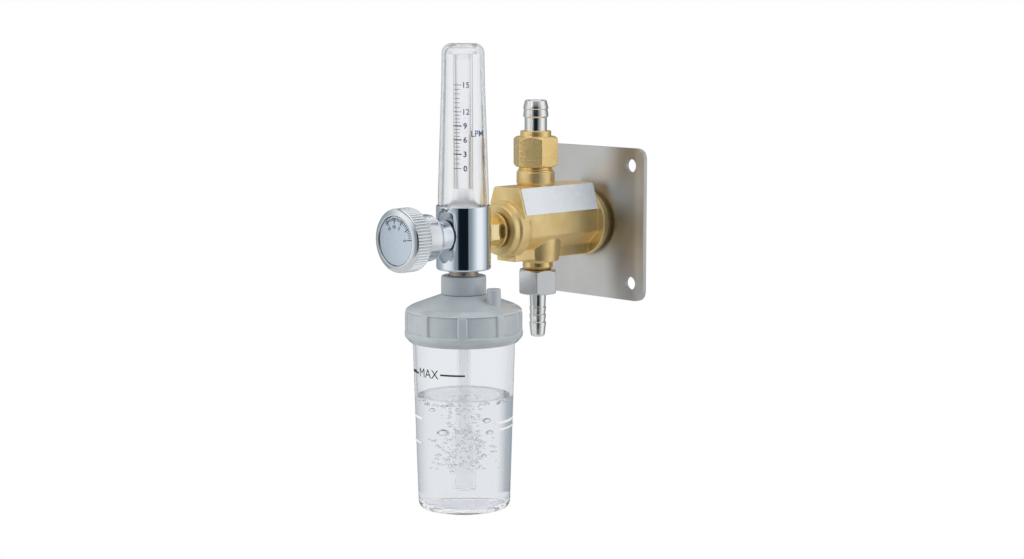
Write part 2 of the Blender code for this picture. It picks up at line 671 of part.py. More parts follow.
def make_inlet(brass, steel, rubber):
    place = (0, -INLET_OUT, 0)
    washer_z = INLET_THREAD_Z + CLEAR
    tail_z = washer_z + WASHER_THICK + CLEAR
    collar_top = tail_z + TAIL_COLLAR_THICK
    nut_low = INLET_NECK_Z + CLEAR
    nut_high = nut_low + INLET_NUT_LENGTH
    nut_top = nut_high + INLET_COLLAR_LENGTH
    corner = INLET_NUT_FLATS / math.sqrt(3)
    flat = INLET_NUT_FLATS / 2
    section = [
        (INLET_THREAD_RADIUS + CLEAR, nut_low),
        (flat, nut_low),
        (corner, nut_low + INLET_NUT_CHAMFER),
        (corner, nut_high - INLET_NUT_CHAMFER),
        (flat, nut_high),
        (INLET_COLLAR_RADIUS, nut_high),
        (INLET_COLLAR_RADIUS, nut_top - INLET_COLLAR_CHAMFER),
        (INLET_COLLAR_RADIUS - INLET_COLLAR_CHAMFER, nut_top),
        (INLET_STEM_RADIUS + CLEAR, nut_top),
        (INLET_STEM_RADIUS + CLEAR, collar_top + CLEAR),
        (INLET_THREAD_RADIUS + CLEAR, collar_top + CLEAR),
    ]
    hex_nut("inlet_nut", INLET_NUT_FLATS, section, math.pi / 2, brass, place)
    washer_bore = INLET_BORE_RADIUS + WASHER_THICK
    ring("inlet_washer", washer_bore, INLET_THREAD_RADIUS - CLEAR, washer_z, washer_z + WASHER_THICK,
         rubber, place, UP, SMALL_STEPS)
    barb_low = nut_top + INLET_STEM_LENGTH
    barb_mid = barb_low + INLET_BARB_LENGTH
    tip = barb_mid + INLET_TIP_LENGTH
    tail = [
        (INLET_BORE_RADIUS, tail_z),
        (INLET_THREAD_RADIUS, tail_z),
        (INLET_THREAD_RADIUS, collar_top),
        (INLET_STEM_RADIUS, collar_top),
        (INLET_STEM_RADIUS, barb_low),
        (INLET_BARB_RADIUS, barb_low + BARB_EDGE),
        (INLET_BARB_RADIUS, barb_low + 2 * BARB_EDGE),
        (INLET_BARB_ROOT, barb_mid),
        (INLET_BARB_RADIUS, barb_mid + BARB_EDGE),
        (INLET_BARB_RADIUS, barb_mid + 2 * BARB_EDGE),
        (INLET_TIP_RADIUS, tip),
        (INLET_BORE_RADIUS, tip),
    ]
    turned("inlet_hose_tail", tail, steel, place, UP, ROUND_STEPS)


def make_outlet(chrome, steel, rubber):
    place = (0, -OUTLET_OUT, 0)
    washer_z = OUTLET_THREAD_Z - CLEAR
    tail_z = washer_z - WASHER_THICK - CLEAR
    collar_low = tail_z - TAIL_COLLAR_THICK
    nut_high = OUTLET_NECK_Z - CLEAR
    nut_low = nut_high - OUTLET_NUT_LENGTH
    corner = OUTLET_NUT_FLATS / math.sqrt(3)
    flat = OUTLET_NUT_FLATS / 2
    section = [
        (OUTLET_STEM_RADIUS + CLEAR, nut_low),
        (flat, nut_low),
        (corner, nut_low + OUTLET_NUT_CHAMFER),
        (corner, nut_high - OUTLET_NUT_CHAMFER),
        (flat, nut_high),
        (OUTLET_THREAD_RADIUS + CLEAR, nut_high),
        (OUTLET_THREAD_RADIUS + CLEAR, collar_low - CLEAR),
        (OUTLET_STEM_RADIUS + CLEAR, collar_low - CLEAR),
    ]
    hex_nut("outlet_nut", OUTLET_NUT_FLATS, section, OUTLET_NUT_TURN, chrome, place)
    washer_bore = OUTLET_BORE_RADIUS + WASHER_THICK
    ring("outlet_washer", washer_bore, OUTLET_THREAD_RADIUS - CLEAR, washer_z - WASHER_THICK, washer_z,
         rubber, place, UP, SMALL_STEPS)
    barb_z = nut_low - OUTLET_STEM_LENGTH
    tail = [
        (OUTLET_BORE_RADIUS, tail_z),
        (OUTLET_THREAD_RADIUS, tail_z),
        (OUTLET_THREAD_RADIUS, collar_low),
        (OUTLET_STEM_RADIUS, collar_low),
        (OUTLET_STEM_RADIUS, barb_z),
    ]
    for number in range(OUTLET_BARBS):
        start = barb_z - number * OUTLET_BARB_LENGTH
        last = number == OUTLET_BARBS - 1
        end = start - (OUTLET_TIP_LENGTH if last else OUTLET_BARB_LENGTH)
        tail += [
            (OUTLET_BARB_ROOT, start - BARB_EDGE),
            (OUTLET_BARB_RADIUS, start - 2 * BARB_EDGE),
            (OUTLET_BARB_RADIUS, start - 3 * BARB_EDGE),
            (OUTLET_TIP_RADIUS if last else OUTLET_BARB_ROOT, end),
        ]
    tail.append((OUTLET_BORE_RADIUS, end))
    turned("outlet_hose_tail", tail, steel, place, UP, SMALL_STEPS)


def make_adaptor(brass, rubber):
    spigot = [
        (0, ADAPTOR_COLLAR_OUT - ADAPTOR_REAR_THREAD),
        (ADAPTOR_THREAD_RADIUS, ADAPTOR_COLLAR_OUT - ADAPTOR_REAR_THREAD),
        (ADAPTOR_THREAD_RADIUS, ADAPTOR_COLLAR_OUT),
        (ADAPTOR_COLLAR_RADIUS, ADAPTOR_COLLAR_OUT),
        (ADAPTOR_COLLAR_RADIUS, ADAPTOR_HEX_OUT),
        (ADAPTOR_THREAD_RADIUS, ADAPTOR_HEX_OUT),
        (ADAPTOR_THREAD_RADIUS, ADAPTOR_END_OUT + ADAPTOR_FRONT_THREAD),
        (0, ADAPTOR_END_OUT + ADAPTOR_FRONT_THREAD),
    ]
    adaptor = turned("hex_adaptor", spigot, brass, WALL_CENTRE, OUTWARD, ROUND_STEPS)
    corner = ADAPTOR_FLATS / math.sqrt(3)
    flat = ADAPTOR_FLATS / 2
    root = ADAPTOR_HEX_OUT - ADAPTOR_COLLAR_THICK / 2
    blank = [
        (0, root),
        (corner, root),
        (corner, ADAPTOR_END_OUT - ADAPTOR_CHAMFER),
        (flat, ADAPTOR_END_OUT),
        (0, ADAPTOR_END_OUT),
    ]
    hexagonal = turned("adaptor_blank", blank, None, WALL_CENTRE, OUTWARD, ROUND_STEPS)
    sides = extruded("adaptor_flats", hexagon(ADAPTOR_FLATS, math.pi / 2), root - OVERRUN,
                     ADAPTOR_END_OUT + OVERRUN, None)
    combine(hexagonal, sides, "INTERSECT")
    combine(adaptor, hexagonal, "UNION")
    drill(adaptor, PASSAGE_RADIUS, ADAPTOR_COLLAR_OUT - ADAPTOR_REAR_THREAD - OVERRUN,
          ADAPTOR_END_OUT + ADAPTOR_FRONT_THREAD + OVERRUN, WALL_CENTRE, OUTWARD)
    seal_out = BOSS_FACE_OUT + CLEAR
    ring("adaptor_seal", ADAPTOR_THREAD_RADIUS + CLEAR, ADAPTOR_SEAL_RADIUS, seal_out,
         seal_out + ADAPTOR_SEAL_THICK, rubber, WALL_CENTRE, OUTWARD, SMALL_STEPS)


def make_flowmeter_body(chrome):
    section = rounded([
        (0, FLOW_BOTTOM_Z),
        (FLOW_RADIUS, FLOW_BOTTOM_Z, FLOW_ROUND),
        (FLOW_RADIUS, FLOW_TOP_Z, FLOW_ROUND),
        (0, FLOW_TOP_Z),
    ])
    body = turned("flowmeter_body", section, chrome, FLOW_AXIS, UP, FINE_STEPS)
    outside = FLOW_RADIUS + OVERRUN
    drill(body, SPOT_RADIUS, FLOW_OUT + SPOT_DEEP, FLOW_OUT + outside, WALL_CENTRE, OUTWARD, ROUND_STEPS)
    drill(body, REAR_SPOT_RADIUS, FLOW_OUT - outside, FLOW_OUT - REAR_SPOT_DEEP, WALL_CENTRE, OUTWARD,
          ROUND_STEPS)
    thread_hole = ADAPTOR_THREAD_RADIUS + CLEAR
    port_end = ADAPTOR_END_OUT + ADAPTOR_FRONT_THREAD + THREAD_END_ROOM
    drill(body, thread_hole, FLOW_OUT - outside, port_end, WALL_CENTRE, OUTWARD, SMALL_STEPS)
    drill(body, REAR_BORE_RADIUS, port_end - OVERRUN, FLOW_OUT, WALL_CENTRE, OUTWARD)
    drill(body, RISER_RADIUS, -REAR_BORE_RADIUS, SOCKET_Z + OVERRUN)
    drill(body, CHAMBER_RADIUS, FLOW_OUT + CHAMBER_DEEP, FLOW_OUT + outside, WALL_CENTRE, OUTWARD,
          SMALL_STEPS)
    drill(body, SEAT_RADIUS, FLOW_OUT + OUT_BORE_DEEP - SEAT_RADIUS, FLOW_OUT + CHAMBER_DEEP + OVERRUN,
          WALL_CENTRE, OUTWARD)
    chamber_bore = (0, -FLOW_OUT - DOWN_BORE_DEEP, 0)
    drill(body, DOWN_BORE_RADIUS, 0, SOCKET_Z + OVERRUN, chamber_bore)
    drop_bore = (0, -FLOW_OUT - OUT_BORE_DEEP, 0)
    drill(body, OUT_BORE_RADIUS, PORT_Z - OVERRUN, SEAT_RADIUS * CROSSING_SHARE, drop_bore)
    socket = COVER_FOOT_RADIUS + CLEAR
    drill(body, socket, SOCKET_Z, FLOW_TOP_Z + OVERRUN, FLOW_AXIS, UP, FINE_STEPS)
    drill(body, STUB_THREAD_RADIUS + CLEAR, FLOW_BOTTOM_Z - OVERRUN, PORT_Z, FLOW_AXIS, UP, SMALL_STEPS)


def make_bonnet(chrome, rubber):
    thread = CHAMBER_RADIUS - CLEAR
    bore = SPINDLE_RADIUS + CLEAR
    start = FLOW_OUT + SPOT_DEEP - BONNET_THREAD_LENGTH
    section = rounded([
        (bore, start),
        (thread, start),
        (thread, BONNET_OUT),
        (BONNET_RADIUS, BONNET_OUT, BONNET_ROUND),
        (BONNET_RADIUS, BONNET_END_OUT, BONNET_ROUND),
        (bore, BONNET_END_OUT),
    ])
    turned("valve_bonnet", section, chrome, WALL_CENTRE, OUTWARD, ROUND_STEPS)
    ring("bonnet_seal", thread + CLEAR, BONNET_SEAL_RADIUS, BONNET_SEAL_OUT,
         BONNET_SEAL_OUT + BONNET_SEAL_THICK, rubber, WALL_CENTRE, OUTWARD, ROUND_STEPS)


def make_spindle(steel, rubber):
    """The needle's point, the sealed spindle and the square that the knob sits on."""
    groove_middle = BONNET_END_OUT - ORING_SET_BACK
    groove_half = ORING_THICK_RADIUS + CLEAR
    ring_radius = SPINDLE_RADIUS - ORING_THICK_RADIUS
    groove_floor = ring_radius - groove_half
    needle_root = FLOW_OUT + CHAMBER_DEEP
    section = [
        (0, needle_root - NEEDLE_LENGTH),
        (NEEDLE_TIP_RADIUS, needle_root - NEEDLE_LENGTH),
        (SEAT_RADIUS - CLEAR, needle_root),
        (SPINDLE_RADIUS, needle_root + NEEDLE_CONE_LENGTH),
        (SPINDLE_RADIUS, groove_middle - groove_half),
        (groove_floor, groove_middle - groove_half),
        (groove_floor, groove_middle + groove_half),
        (SPINDLE_RADIUS, groove_middle + groove_half),
        (SPINDLE_RADIUS, SQUARE_OUT),
        (0, SQUARE_OUT),
    ]
    place = (0, -FLOW_OUT, 0)
    shifted = [(radius, along - FLOW_OUT) for radius, along in section]
    spindle = turned("valve_spindle", shifted, steel, place, OUTWARD, SMALL_STEPS)
    half = SQUARE_SIDE / 2
    outline = [(half, half), (-half, half), (-half, -half), (half, -half)]
    square = extruded("spindle_square", outline, SQUARE_OUT - OVERRUN, SQUARE_END_OUT, None)
    combine(spindle, square, "UNION")
    drill(spindle, KNOB_SCREW_SHANK_RADIUS + CLEAR,
          SCREW_SEAT_OUT - KNOB_SCREW_SHANK_LENGTH - KNOB_SCREW_ROOM, SQUARE_END_OUT + OVERRUN,
          WALL_CENTRE, OUTWARD)
    circle = polygon(8, ORING_THICK_RADIUS, math.pi / 8)
    around = [(ring_radius + x, groove_middle - FLOW_OUT + y) for x, y in circle]
    oring = turned("spindle_oring", around, rubber, place, OUTWARD, SMALL_STEPS)
    return spindle, oring


def knurl_outline():
    """Straight knurling as a toothed outline: each tooth has a land, a flank, a floor and a flank."""
    points = []
    pitch = 2 * math.pi / KNURL_COUNT
    root = KNOB_RADIUS - KNURL_DEPTH
    land_end = KNURL_LAND_SHARE * pitch
    floor_start = (KNURL_FLOOR_SHARE - KNURL_LAND_SHARE) * pitch
    floor_end = KNURL_FLOOR_SHARE * pitch
    for tooth in range(KNURL_COUNT):
        start = tooth * pitch
        spokes = ((KNOB_RADIUS, 0), (KNOB_RADIUS, land_end), (root, floor_start), (root, floor_end))
        points += [(r * math.cos(start + a), r * math.sin(start + a)) for r, a in spokes]
    return points


def make_knob(chrome, dial_silver, steel):
    recess = KNOB_SCREW_HEAD_RADIUS + CLEAR
    dial_hole = DIAL_RADIUS + CLEAR
    cavity = BONNET_RADIUS + CLEAR
    root = KNOB_RADIUS - KNURL_DEPTH
    rim_end = KNOB_FACE_OUT - KNOB_FACE_CHAMFER
    section = rounded([
        (0, KNOB_WEB_OUT),
        (cavity, KNOB_WEB_OUT),
        (cavity, KNOB_BACK_OUT),
        (KNOB_HUB_RADIUS, KNOB_BACK_OUT, KNOB_EDGE),
        (KNOB_HUB_RADIUS, KNOB_RIM_OUT - KNOB_RIM_CHAMFER),
        (root, KNOB_RIM_OUT),
        (KNOB_RADIUS, KNOB_RIM_OUT + KNOB_RIM_CHAMFER),
        (KNOB_RADIUS, rim_end),
        (KNOB_FACE_RADIUS, KNOB_FACE_OUT, KNOB_EDGE),
        (dial_hole, KNOB_FACE_OUT),
        (dial_hole, DIAL_SEAT_OUT),
        (recess, DIAL_SEAT_OUT),
        (recess, SCREW_SEAT_OUT),
        (0, SCREW_SEAT_OUT),
    ])
    place = (0, -KNOB_BACK_OUT, 0)
    shifted = [(radius, along - KNOB_BACK_OUT) for radius, along in section]
    knob = turned("control_knob", shifted, chrome, place, OUTWARD, KNURL_COUNT)
    teeth = extruded("knob_knurl", knurl_outline(), KNOB_BACK_OUT - OVERRUN, KNOB_FACE_OUT + OVERRUN, None)
    combine(knob, teeth, "INTERSECT")
    half = SQUARE_SIDE / 2 + CLEAR
    outline = [(half, half), (-half, half), (-half, -half), (half, -half)]
    square = extruded("knob_square", outline, KNOB_WEB_OUT - OVERRUN, SCREW_SEAT_OUT + OVERRUN, None)
    combine(knob, square, "DIFFERENCE")
    dial_section = [
        (0, 0),
        (DIAL_RADIUS, 0),
        (DIAL_RADIUS, DIAL_THICK - DIAL_EDGE),
        (DIAL_RADIUS - DIAL_EDGE, DIAL_THICK),
        (0, DIAL_THICK),
    ]
    dial = turned("dial_disc", dial_section, dial_silver, (0, -DIAL_OUT, 0), OUTWARD, FINE_STEPS)
    head_low = SCREW_SEAT_OUT + CLEAR
    screw_section = [
        (0, -KNOB_SCREW_SHANK_LENGTH),
        (KNOB_SCREW_SHANK_RADIUS, -KNOB_SCREW_SHANK_LENGTH),
        (KNOB_SCREW_SHANK_RADIUS, 0),
        (KNOB_SCREW_HEAD_RADIUS, 0),
        (KNOB_SCREW_HEAD_RADIUS, KNOB_SCREW_HEAD_HEIGHT),
        (0, KNOB_SCREW_HEAD_HEIGHT),
    ]
    screw = turned("knob_screw", screw_section, steel, (0, -head_low, 0), OUTWARD, SMALL_STEPS)
    top = KNOB_SCREW_HEAD_HEIGHT
    socket = extruded("knob_screw_socket", polygon(6, KNOB_SCREW_SOCKET_RADIUS),
                      top - KNOB_SCREW_SOCKET_DEPTH, top + OVERRUN, None, (0, -head_low, 0))
    combine(screw, socket, "DIFFERENCE")
    return knob, dial, screw


def make_tube(clear_plastic, rubber, white_plastic):
    foot_low = SOCKET_Z + CLEAR
    foot_high = foot_low + COVER_FOOT_LENGTH
    cover = rounded([
        (0, COVER_TOP_Z),
        (COVER_SHOULDER_RADIUS, COVER_TOP_Z - COVER_CROWN, COVER_CORNER),
        (COVER_NECK_RADIUS, COVER_NECK_Z),
        (COVER_FOOT_RADIUS, foot_high),
        (COVER_FOOT_RADIUS, foot_low),
        (COVER_FOOT_RADIUS - COVER_FOOT_WALL, foot_low),
        (COVER_FOOT_RADIUS - COVER_FOOT_WALL, foot_high),
        (COVER_NECK_RADIUS - COVER_NECK_WALL, COVER_NECK_Z),
        (COVER_SHOULDER_RADIUS - COVER_NECK_WALL, COVER_INNER_Z - COVER_CROWN, COVER_INNER_CORNER),
        (0, COVER_INNER_Z),
    ])
    turned("tube_cover", cover, clear_plastic, FLOW_AXIS, UP, ROUND_STEPS)
    cone_low = METER_Z + METER_INLET_LENGTH
    cone_high = cone_low + METER_CONE_LENGTH
    meter = rounded([
        (METER_INLET_BORE, METER_Z),
        (METER_FOOT_RADIUS, METER_Z),
        (METER_FOOT_RADIUS, METER_Z + METER_FOOT_HEIGHT, METER_DOME_ROUND),
        (METER_RADIUS, METER_Z + METER_SHOULDER_HEIGHT, METER_SHOULDER_ROUND),
        (METER_RADIUS, METER_TOP_Z),
        (METER_TOP_BORE, METER_TOP_Z),
        (METER_LOW_BORE, cone_high),
        (METER_INLET_BORE, cone_low),
    ])
    turned("metering_tube", meter, clear_plastic, FLOW_AXIS, UP, SMALL_STEPS)
    ring("tube_seal", TUBE_SEAL_BORE, TUBE_SEAL_RADIUS, TUBE_SEAL_Z, TUBE_SEAL_Z + TUBE_SEAL_THICK, rubber)
    stop_low = METER_TOP_Z + CLEAR
    spigot = METER_TOP_BORE - STOP_FIT
    stop = [
        (STOP_BORE, stop_low - STOP_SPIGOT_LENGTH),
        (spigot, stop_low - STOP_SPIGOT_LENGTH),
        (spigot, stop_low),
        (STOP_RADIUS, stop_low),
        (STOP_RADIUS, STOP_TOP_Z),
        (STOP_BORE, STOP_TOP_Z),
    ]
    turned("tube_stop", stop, white_plastic, FLOW_AXIS, UP, SMALL_STEPS)
    return cone_high


def make_float(steel, cone_high):
    """The ball rests just clear of the cone at the bottom of the metering tube's bore."""
    widening = METER_LOW_BORE - METER_INLET_BORE
    slant = math.hypot(widening, METER_CONE_LENGTH)
    rest_z = cone_high + ((FLOAT_RADIUS + CLEAR) * slant - METER_LOW_BORE * METER_CONE_LENGTH) / widening
    mesh = bmesh.new()
    bmesh.ops.create_icosphere(mesh, subdivisions=2, radius=FLOAT_RADIUS)
    return new_object("float_ball", mesh, steel, (0, -FLOW_OUT, rest_z), UP)


def make_outlet_stub(brass, rubber):
    section = [
        (STUB_BORE, STUB_END_Z),
        (STUB_RADIUS - STUB_CHAMFER, STUB_END_Z),
        (STUB_RADIUS, STUB_END_Z + STUB_CHAMFER),
        (STUB_RADIUS, STUB_TOP_Z),
        (STUB_THREAD_RADIUS, STUB_TOP_Z),
        (STUB_THREAD_RADIUS, STUB_TOP_Z + STUB_THREAD_LENGTH),
        (STUB_BORE, STUB_TOP_Z + STUB_THREAD_LENGTH),
    ]
    turned("outlet_stub", section, brass)
    return ring("nipple_seal", NIPPLE_SEAL_BORE, NIPPLE_SEAL_RADIUS, NIPPLE_SEAL_Z - NIPPLE_SEAL_THICK,
                NIPPLE_SEAL_Z, rubber)


def make_swivel_nut(grey_plastic):
    thread = STUB_RADIUS + CLEAR
    neck = CAP_NECK_RADIUS + CLEAR
    section = rounded([
        (neck, NUT_END_Z),
        (NUT_RADIUS, NUT_END_Z),
        (NUT_RADIUS, NUT_TOP_Z, NUT_ROUND),
        (thread, NUT_TOP_Z),
        (thread, NUT_LIP_Z),
        (neck, NUT_LIP_Z),
    ])
    return turned("swivel_nut", section, grey_plastic)


def make_cap(grey_plastic):
    """The cap: a cone with a ribbed skirt, a neck for the nut, a hub for the dip tube and a spigot."""
    socket = DIP_RADIUS + CLEAR
    seat_inner = GASKET_BORE - CLEAR
    section = rounded([
        (CAP_BORE, CAP_FLANGE_Z),
        (CAP_FLANGE_RADIUS, CAP_FLANGE_Z),
        (CAP_FLANGE_RADIUS, CAP_FLANGE_Z - CAP_FLANGE_THICK),
        (CAP_NECK_RADIUS, CAP_FLANGE_Z - CAP_FLANGE_THICK),
        (CAP_NECK_RADIUS, CAP_TOP_Z),
        (CAP_TOP_RADIUS, CAP_TOP_Z, CAP_ROUND),
        (CAP_CONE_RADIUS, CAP_CONE_Z, CAP_ROUND),
        (CAP_SHOULDER_RADIUS, CAP_SHOULDER_Z, CAP_ROUND),
        (CAP_SKIRT_RADIUS, CAP_SKIRT_Z),
        (CAP_LIP_RADIUS, CAP_SKIRT_Z),
        (CAP_LIP_RADIUS, CAP_LIP_Z, CAP_ROUND),
        (CAP_LIP_END_RADIUS, CAP_END_Z),
        (CAP_INNER_RADIUS, CAP_END_Z),
        (CAP_INNER_RADIUS, CAP_SEAT_Z),
        (seat_inner, CAP_SEAT_Z),
        (seat_inner, CAP_CONE_Z),
        (CAP_TOP_RADIUS, CAP_TOP_Z - CAP_WALL),
        (CAP_HUB_RADIUS, CAP_TOP_Z - CAP_WALL),
        (CAP_HUB_RADIUS, CAP_HUB_Z),
        (socket, CAP_HUB_Z),
        (socket, CAP_SOCKET_Z),
        (CAP_BORE, CAP_SOCKET_Z),
    ])
    cap = turned("humidifier_cap", section, grey_plastic, FLOW_AXIS, UP, CAP_STEPS)
    rib_high = CAP_CONE_Z - CAP_SHOULDER_DROP / 2
    depth = CAP_SHOULDER_RADIUS - CAP_INNER_RADIUS
    middle = CAP_INNER_RADIUS + depth / 2
    outside = CAP_SKIRT_RADIUS + CAP_RIB_PROUD
    half = CAP_RIB_WIDTH / 2
    rib = rounded([
        (middle, -half),
        (outside, -half, CAP_RIB_ROUND),
        (outside, half, CAP_RIB_ROUND),
        (middle, half),
    ], closed=True)
    for number in range(CAP_RIBS):
        turn = CAP_RIB_START + 2 * math.pi * number / CAP_RIBS
        piece = extruded("cap_rib", rib, CAP_SKIRT_Z - CAP_LIP_HEIGHT / 2, rib_high, None, FLOW_AXIS,
                         (0, 0, turn))
        combine(cap, piece, "UNION")
    x = SPIGOT_SET_OUT * math.cos(SPIGOT_AZIMUTH)
    y = SPIGOT_SET_OUT * math.sin(SPIGOT_AZIMUTH)
    place = (x, y - FLOW_OUT, 0)
    root = CAP_CONE_Z + CAP_ROUND
    spigot = rounded([
        (0, root),
        (SPIGOT_RADIUS, root),
        (SPIGOT_RADIUS, SPIGOT_Z, SPIGOT_ROUND),
        (0, SPIGOT_Z),
    ])
    combine(cap, turned("cap_spigot", spigot, None, place, UP, SMALL_STEPS), "UNION")
    drill(cap, SPIGOT_BORE, CAP_SEAT_Z - OVERRUN, SPIGOT_Z + OVERRUN, place)
    return cap


def make_bottle(clear_plastic, rubber):
    gasket = ring("bottle_gasket", GASKET_BORE, BOTTLE_RADIUS - CLEAR, GASKET_Z - GASKET_THICK, GASKET_Z,
                  rubber, steps=FINE_STEPS)
    straight_z = BOTTLE_TOP_Z - BOTTLE_STRAIGHT
    inner_top = BOTTLE_RADIUS - BOTTLE_WALL
    inner_foot = BOTTLE_FOOT_RADIUS - BOTTLE_WALL
    heel = BOTTLE_HEEL_RADIUS - BOTTLE_WALL
    section = rounded([
        (0, BOTTLE_BASE_Z + BOTTLE_PUSH_UP),
        (heel, BOTTLE_BASE_Z + BOTTLE_PUSH_UP),
        (BOTTLE_HEEL_RADIUS, BOTTLE_BASE_Z),
        (BOTTLE_FOOT_RADIUS, BOTTLE_BASE_Z, BOTTLE_CORNER),
        (BOTTLE_RADIUS, straight_z),
        (BOTTLE_RADIUS, BOTTLE_TOP_Z),
        (inner_top, BOTTLE_TOP_Z),
        (inner_top, straight_z),
        (inner_foot, BOTTLE_FLOOR_Z, BOTTLE_INNER_CORNER),
        (0, BOTTLE_FLOOR_Z),
    ])
    bottle = turned("bottle", section, clear_plastic, FLOW_AXIS, UP, FINE_STEPS)
    return gasket, bottle


def make_dip_tube(clear_plastic, white_plastic):
    dip = ring("dip_tube", DIP_BORE, DIP_RADIUS, DIP_END_Z, DIP_TOP_Z, clear_plastic, steps=SMALL_STEPS)
    socket = DIP_RADIUS + CLEAR
    section = rounded([
        (0, DIFFUSER_END_Z + DIFFUSER_END_WALL),
        (DIFFUSER_BORE, DIFFUSER_END_Z + DIFFUSER_END_WALL),
        (DIFFUSER_BORE, DIFFUSER_TOP_Z - DIFFUSER_SOCKET),
        (socket, DIFFUSER_TOP_Z - DIFFUSER_SOCKET),
        (socket, DIFFUSER_TOP_Z),
        (DIFFUSER_RADIUS, DIFFUSER_TOP_Z, DIFFUSER_ROUND),
        (DIFFUSER_RADIUS, DIFFUSER_END_Z, DIFFUSER_ROUND),
        (0, DIFFUSER_END_Z),
    ])
    return dip, turned("diffuser", section, white_plastic, FLOW_AXIS, UP, SMALL_STEPS)


def main():
    clear_scene()
    cast_brass = finish("cast_brass", (0.62, 0.45, 0.20), 0.42, 0.9)
    turned_brass = finish("turned_brass", (0.72, 0.47, 0.18), 0.25, 1.0)
    chrome = finish("chrome", (0.80, 0.82, 0.85), 0.06, 1.0)
    stainless = finish("stainless", (0.60, 0.60, 0.59), 0.35, 1.0)
    dial_silver = finish("dial_silver", (0.70, 0.73, 0.78), 0.30, 0.8)
    clear_plastic = finish("clear_plastic", (0.95, 0.97, 0.98), 0.04, 0.0, 0.25)
    grey_plastic = finish("grey_plastic", (0.55, 0.59, 0.62), 0.42, 0.0)
    white_plastic = finish("white_plastic", (0.82, 0.84, 0.85), 0.50, 0.0)
    rubber = finish("rubber", (0.03, 0.03, 0.03), 0.70, 0.0)
    make_wall_plate(stainless)
    make_flange_screws(stainless)
    make_valve_body(cast_brass)
    make_inlet(cast_brass, stainless, rubber)
    make_outlet(chrome, stainless, rubber)
    make_adaptor(turned_brass, rubber)
    make_flowmeter_body(chrome)
    make_bonnet(chrome, rubber)
    spindle, oring = make_spindle(stainless, rubber)
    knob, dial, screw = make_knob(chrome, dial_silver, stainless)
    parented("needle_axis", (0, -FLOW_OUT, 0), [oring])
    parented("knob_axis", (0, -KNOB_BACK_OUT, 0), [knob, dial, screw, spindle])
    cone_high = make_tube(clear_plastic, rubber, white_plastic)
    make_float(stainless, cone_high)
    seal = make_outlet_stub(turned_brass, rubber)
    nut = make_swivel_nut(grey_plastic)
    cap = make_cap(grey_plastic)
    gasket, bottle = make_bottle(clear_plastic, rubber)
    dip, diffuser = make_dip_tube(clear_plastic, white_plastic)
    parented("humidifier_axis", FLOW_AXIS, [cap, seal, dip, diffuser])
    parented("nut_axis", FLOW_AXIS, [nut])
    parented("bottle_axis", FLOW_AXIS, [gasket, bottle])


main()
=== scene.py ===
"""Looks of the oxygen flowmeter with its humidifier bottle and wall bracket.

Every shape below is a surface worked out on a grid, in millimetres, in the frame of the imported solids.
X runs sideways along the wall, the outward axis runs from the wall, and Z runs up.
"""
from math import cos, pi, radians, sin
import bmesh
import bpy
import numpy as np
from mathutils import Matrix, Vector


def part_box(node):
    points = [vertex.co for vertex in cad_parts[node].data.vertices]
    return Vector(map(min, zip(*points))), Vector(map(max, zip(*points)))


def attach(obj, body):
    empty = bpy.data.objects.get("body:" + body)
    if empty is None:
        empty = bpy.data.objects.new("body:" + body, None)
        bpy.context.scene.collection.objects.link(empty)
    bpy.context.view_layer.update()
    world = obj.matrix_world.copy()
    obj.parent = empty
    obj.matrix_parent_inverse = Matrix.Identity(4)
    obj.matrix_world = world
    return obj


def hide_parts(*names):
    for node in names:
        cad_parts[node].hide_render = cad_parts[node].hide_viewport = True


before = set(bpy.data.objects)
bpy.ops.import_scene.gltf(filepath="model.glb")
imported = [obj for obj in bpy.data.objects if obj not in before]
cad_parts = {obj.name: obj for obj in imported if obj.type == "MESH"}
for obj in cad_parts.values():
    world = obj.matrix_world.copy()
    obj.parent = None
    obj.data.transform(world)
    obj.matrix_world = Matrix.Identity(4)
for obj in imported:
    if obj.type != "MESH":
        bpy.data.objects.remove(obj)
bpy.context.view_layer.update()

MM = 0.001
TAU = 2 * pi
VIEW_TURN = radians(-45)
WELD = 2e-7
SHARP = 32
WALL_CENTRE = (0, 0)
AXIS_OUT = 109.8
FLOW_AXIS = (0, AXIS_OUT)
SCREWS = ["flange_screw_%d" % number for number in (1, 2, 3, 4)]


# Shapes on a grid
def span(node):
    """Lowest and highest corner of a solid, in millimetres."""
    low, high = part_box(node)
    return np.array(low) / MM, np.array(high) / MM


def from_view(degrees):
    """A turn about the upright axis, counted from the viewer's side."""
    return VIEW_TURN + radians(degrees)


def angles(steps):
    """Even angles all round, as one row."""
    return np.linspace(0, TAU, steps, endpoint=False)[None, :]


def unit(rows):
    """Each row at length one."""
    return rows / np.maximum(np.linalg.norm(rows, axis=1, keepdims=True), 1e-9)


def outline(corners, closed=False, arc=5):
    """Corner P with a cut d becomes (1-t)^2 A + 2t(1-t) P + t^2 B, where A and B lie d from P on its two sides."""
    table = np.array([tuple(c) + (0.0,) * (3 - len(c)) for c in corners], dtype=float)
    spot, cut = table[:, :2], table[:, 2:].copy()
    before, after = np.roll(spot, 1, axis=0), np.roll(spot, -1, axis=0)
    if not closed:
        cut[0] = cut[-1] = 0
    t = np.linspace(0, 1, arc)[None, :, None]
    first, last = (spot + unit(before - spot) * cut)[:, None], (spot + unit(after - spot) * cut)[:, None]
    curve = ((1 - t) ** 2 * first + 2 * t * (1 - t) * spot[:, None] + t ** 2 * last).reshape(-1, 2)
    step = np.linalg.norm(curve - np.roll(curve, 1, axis=0), axis=1)
    step[0] = 1 if not closed else step[0]
    return curve[step > 1e-6]


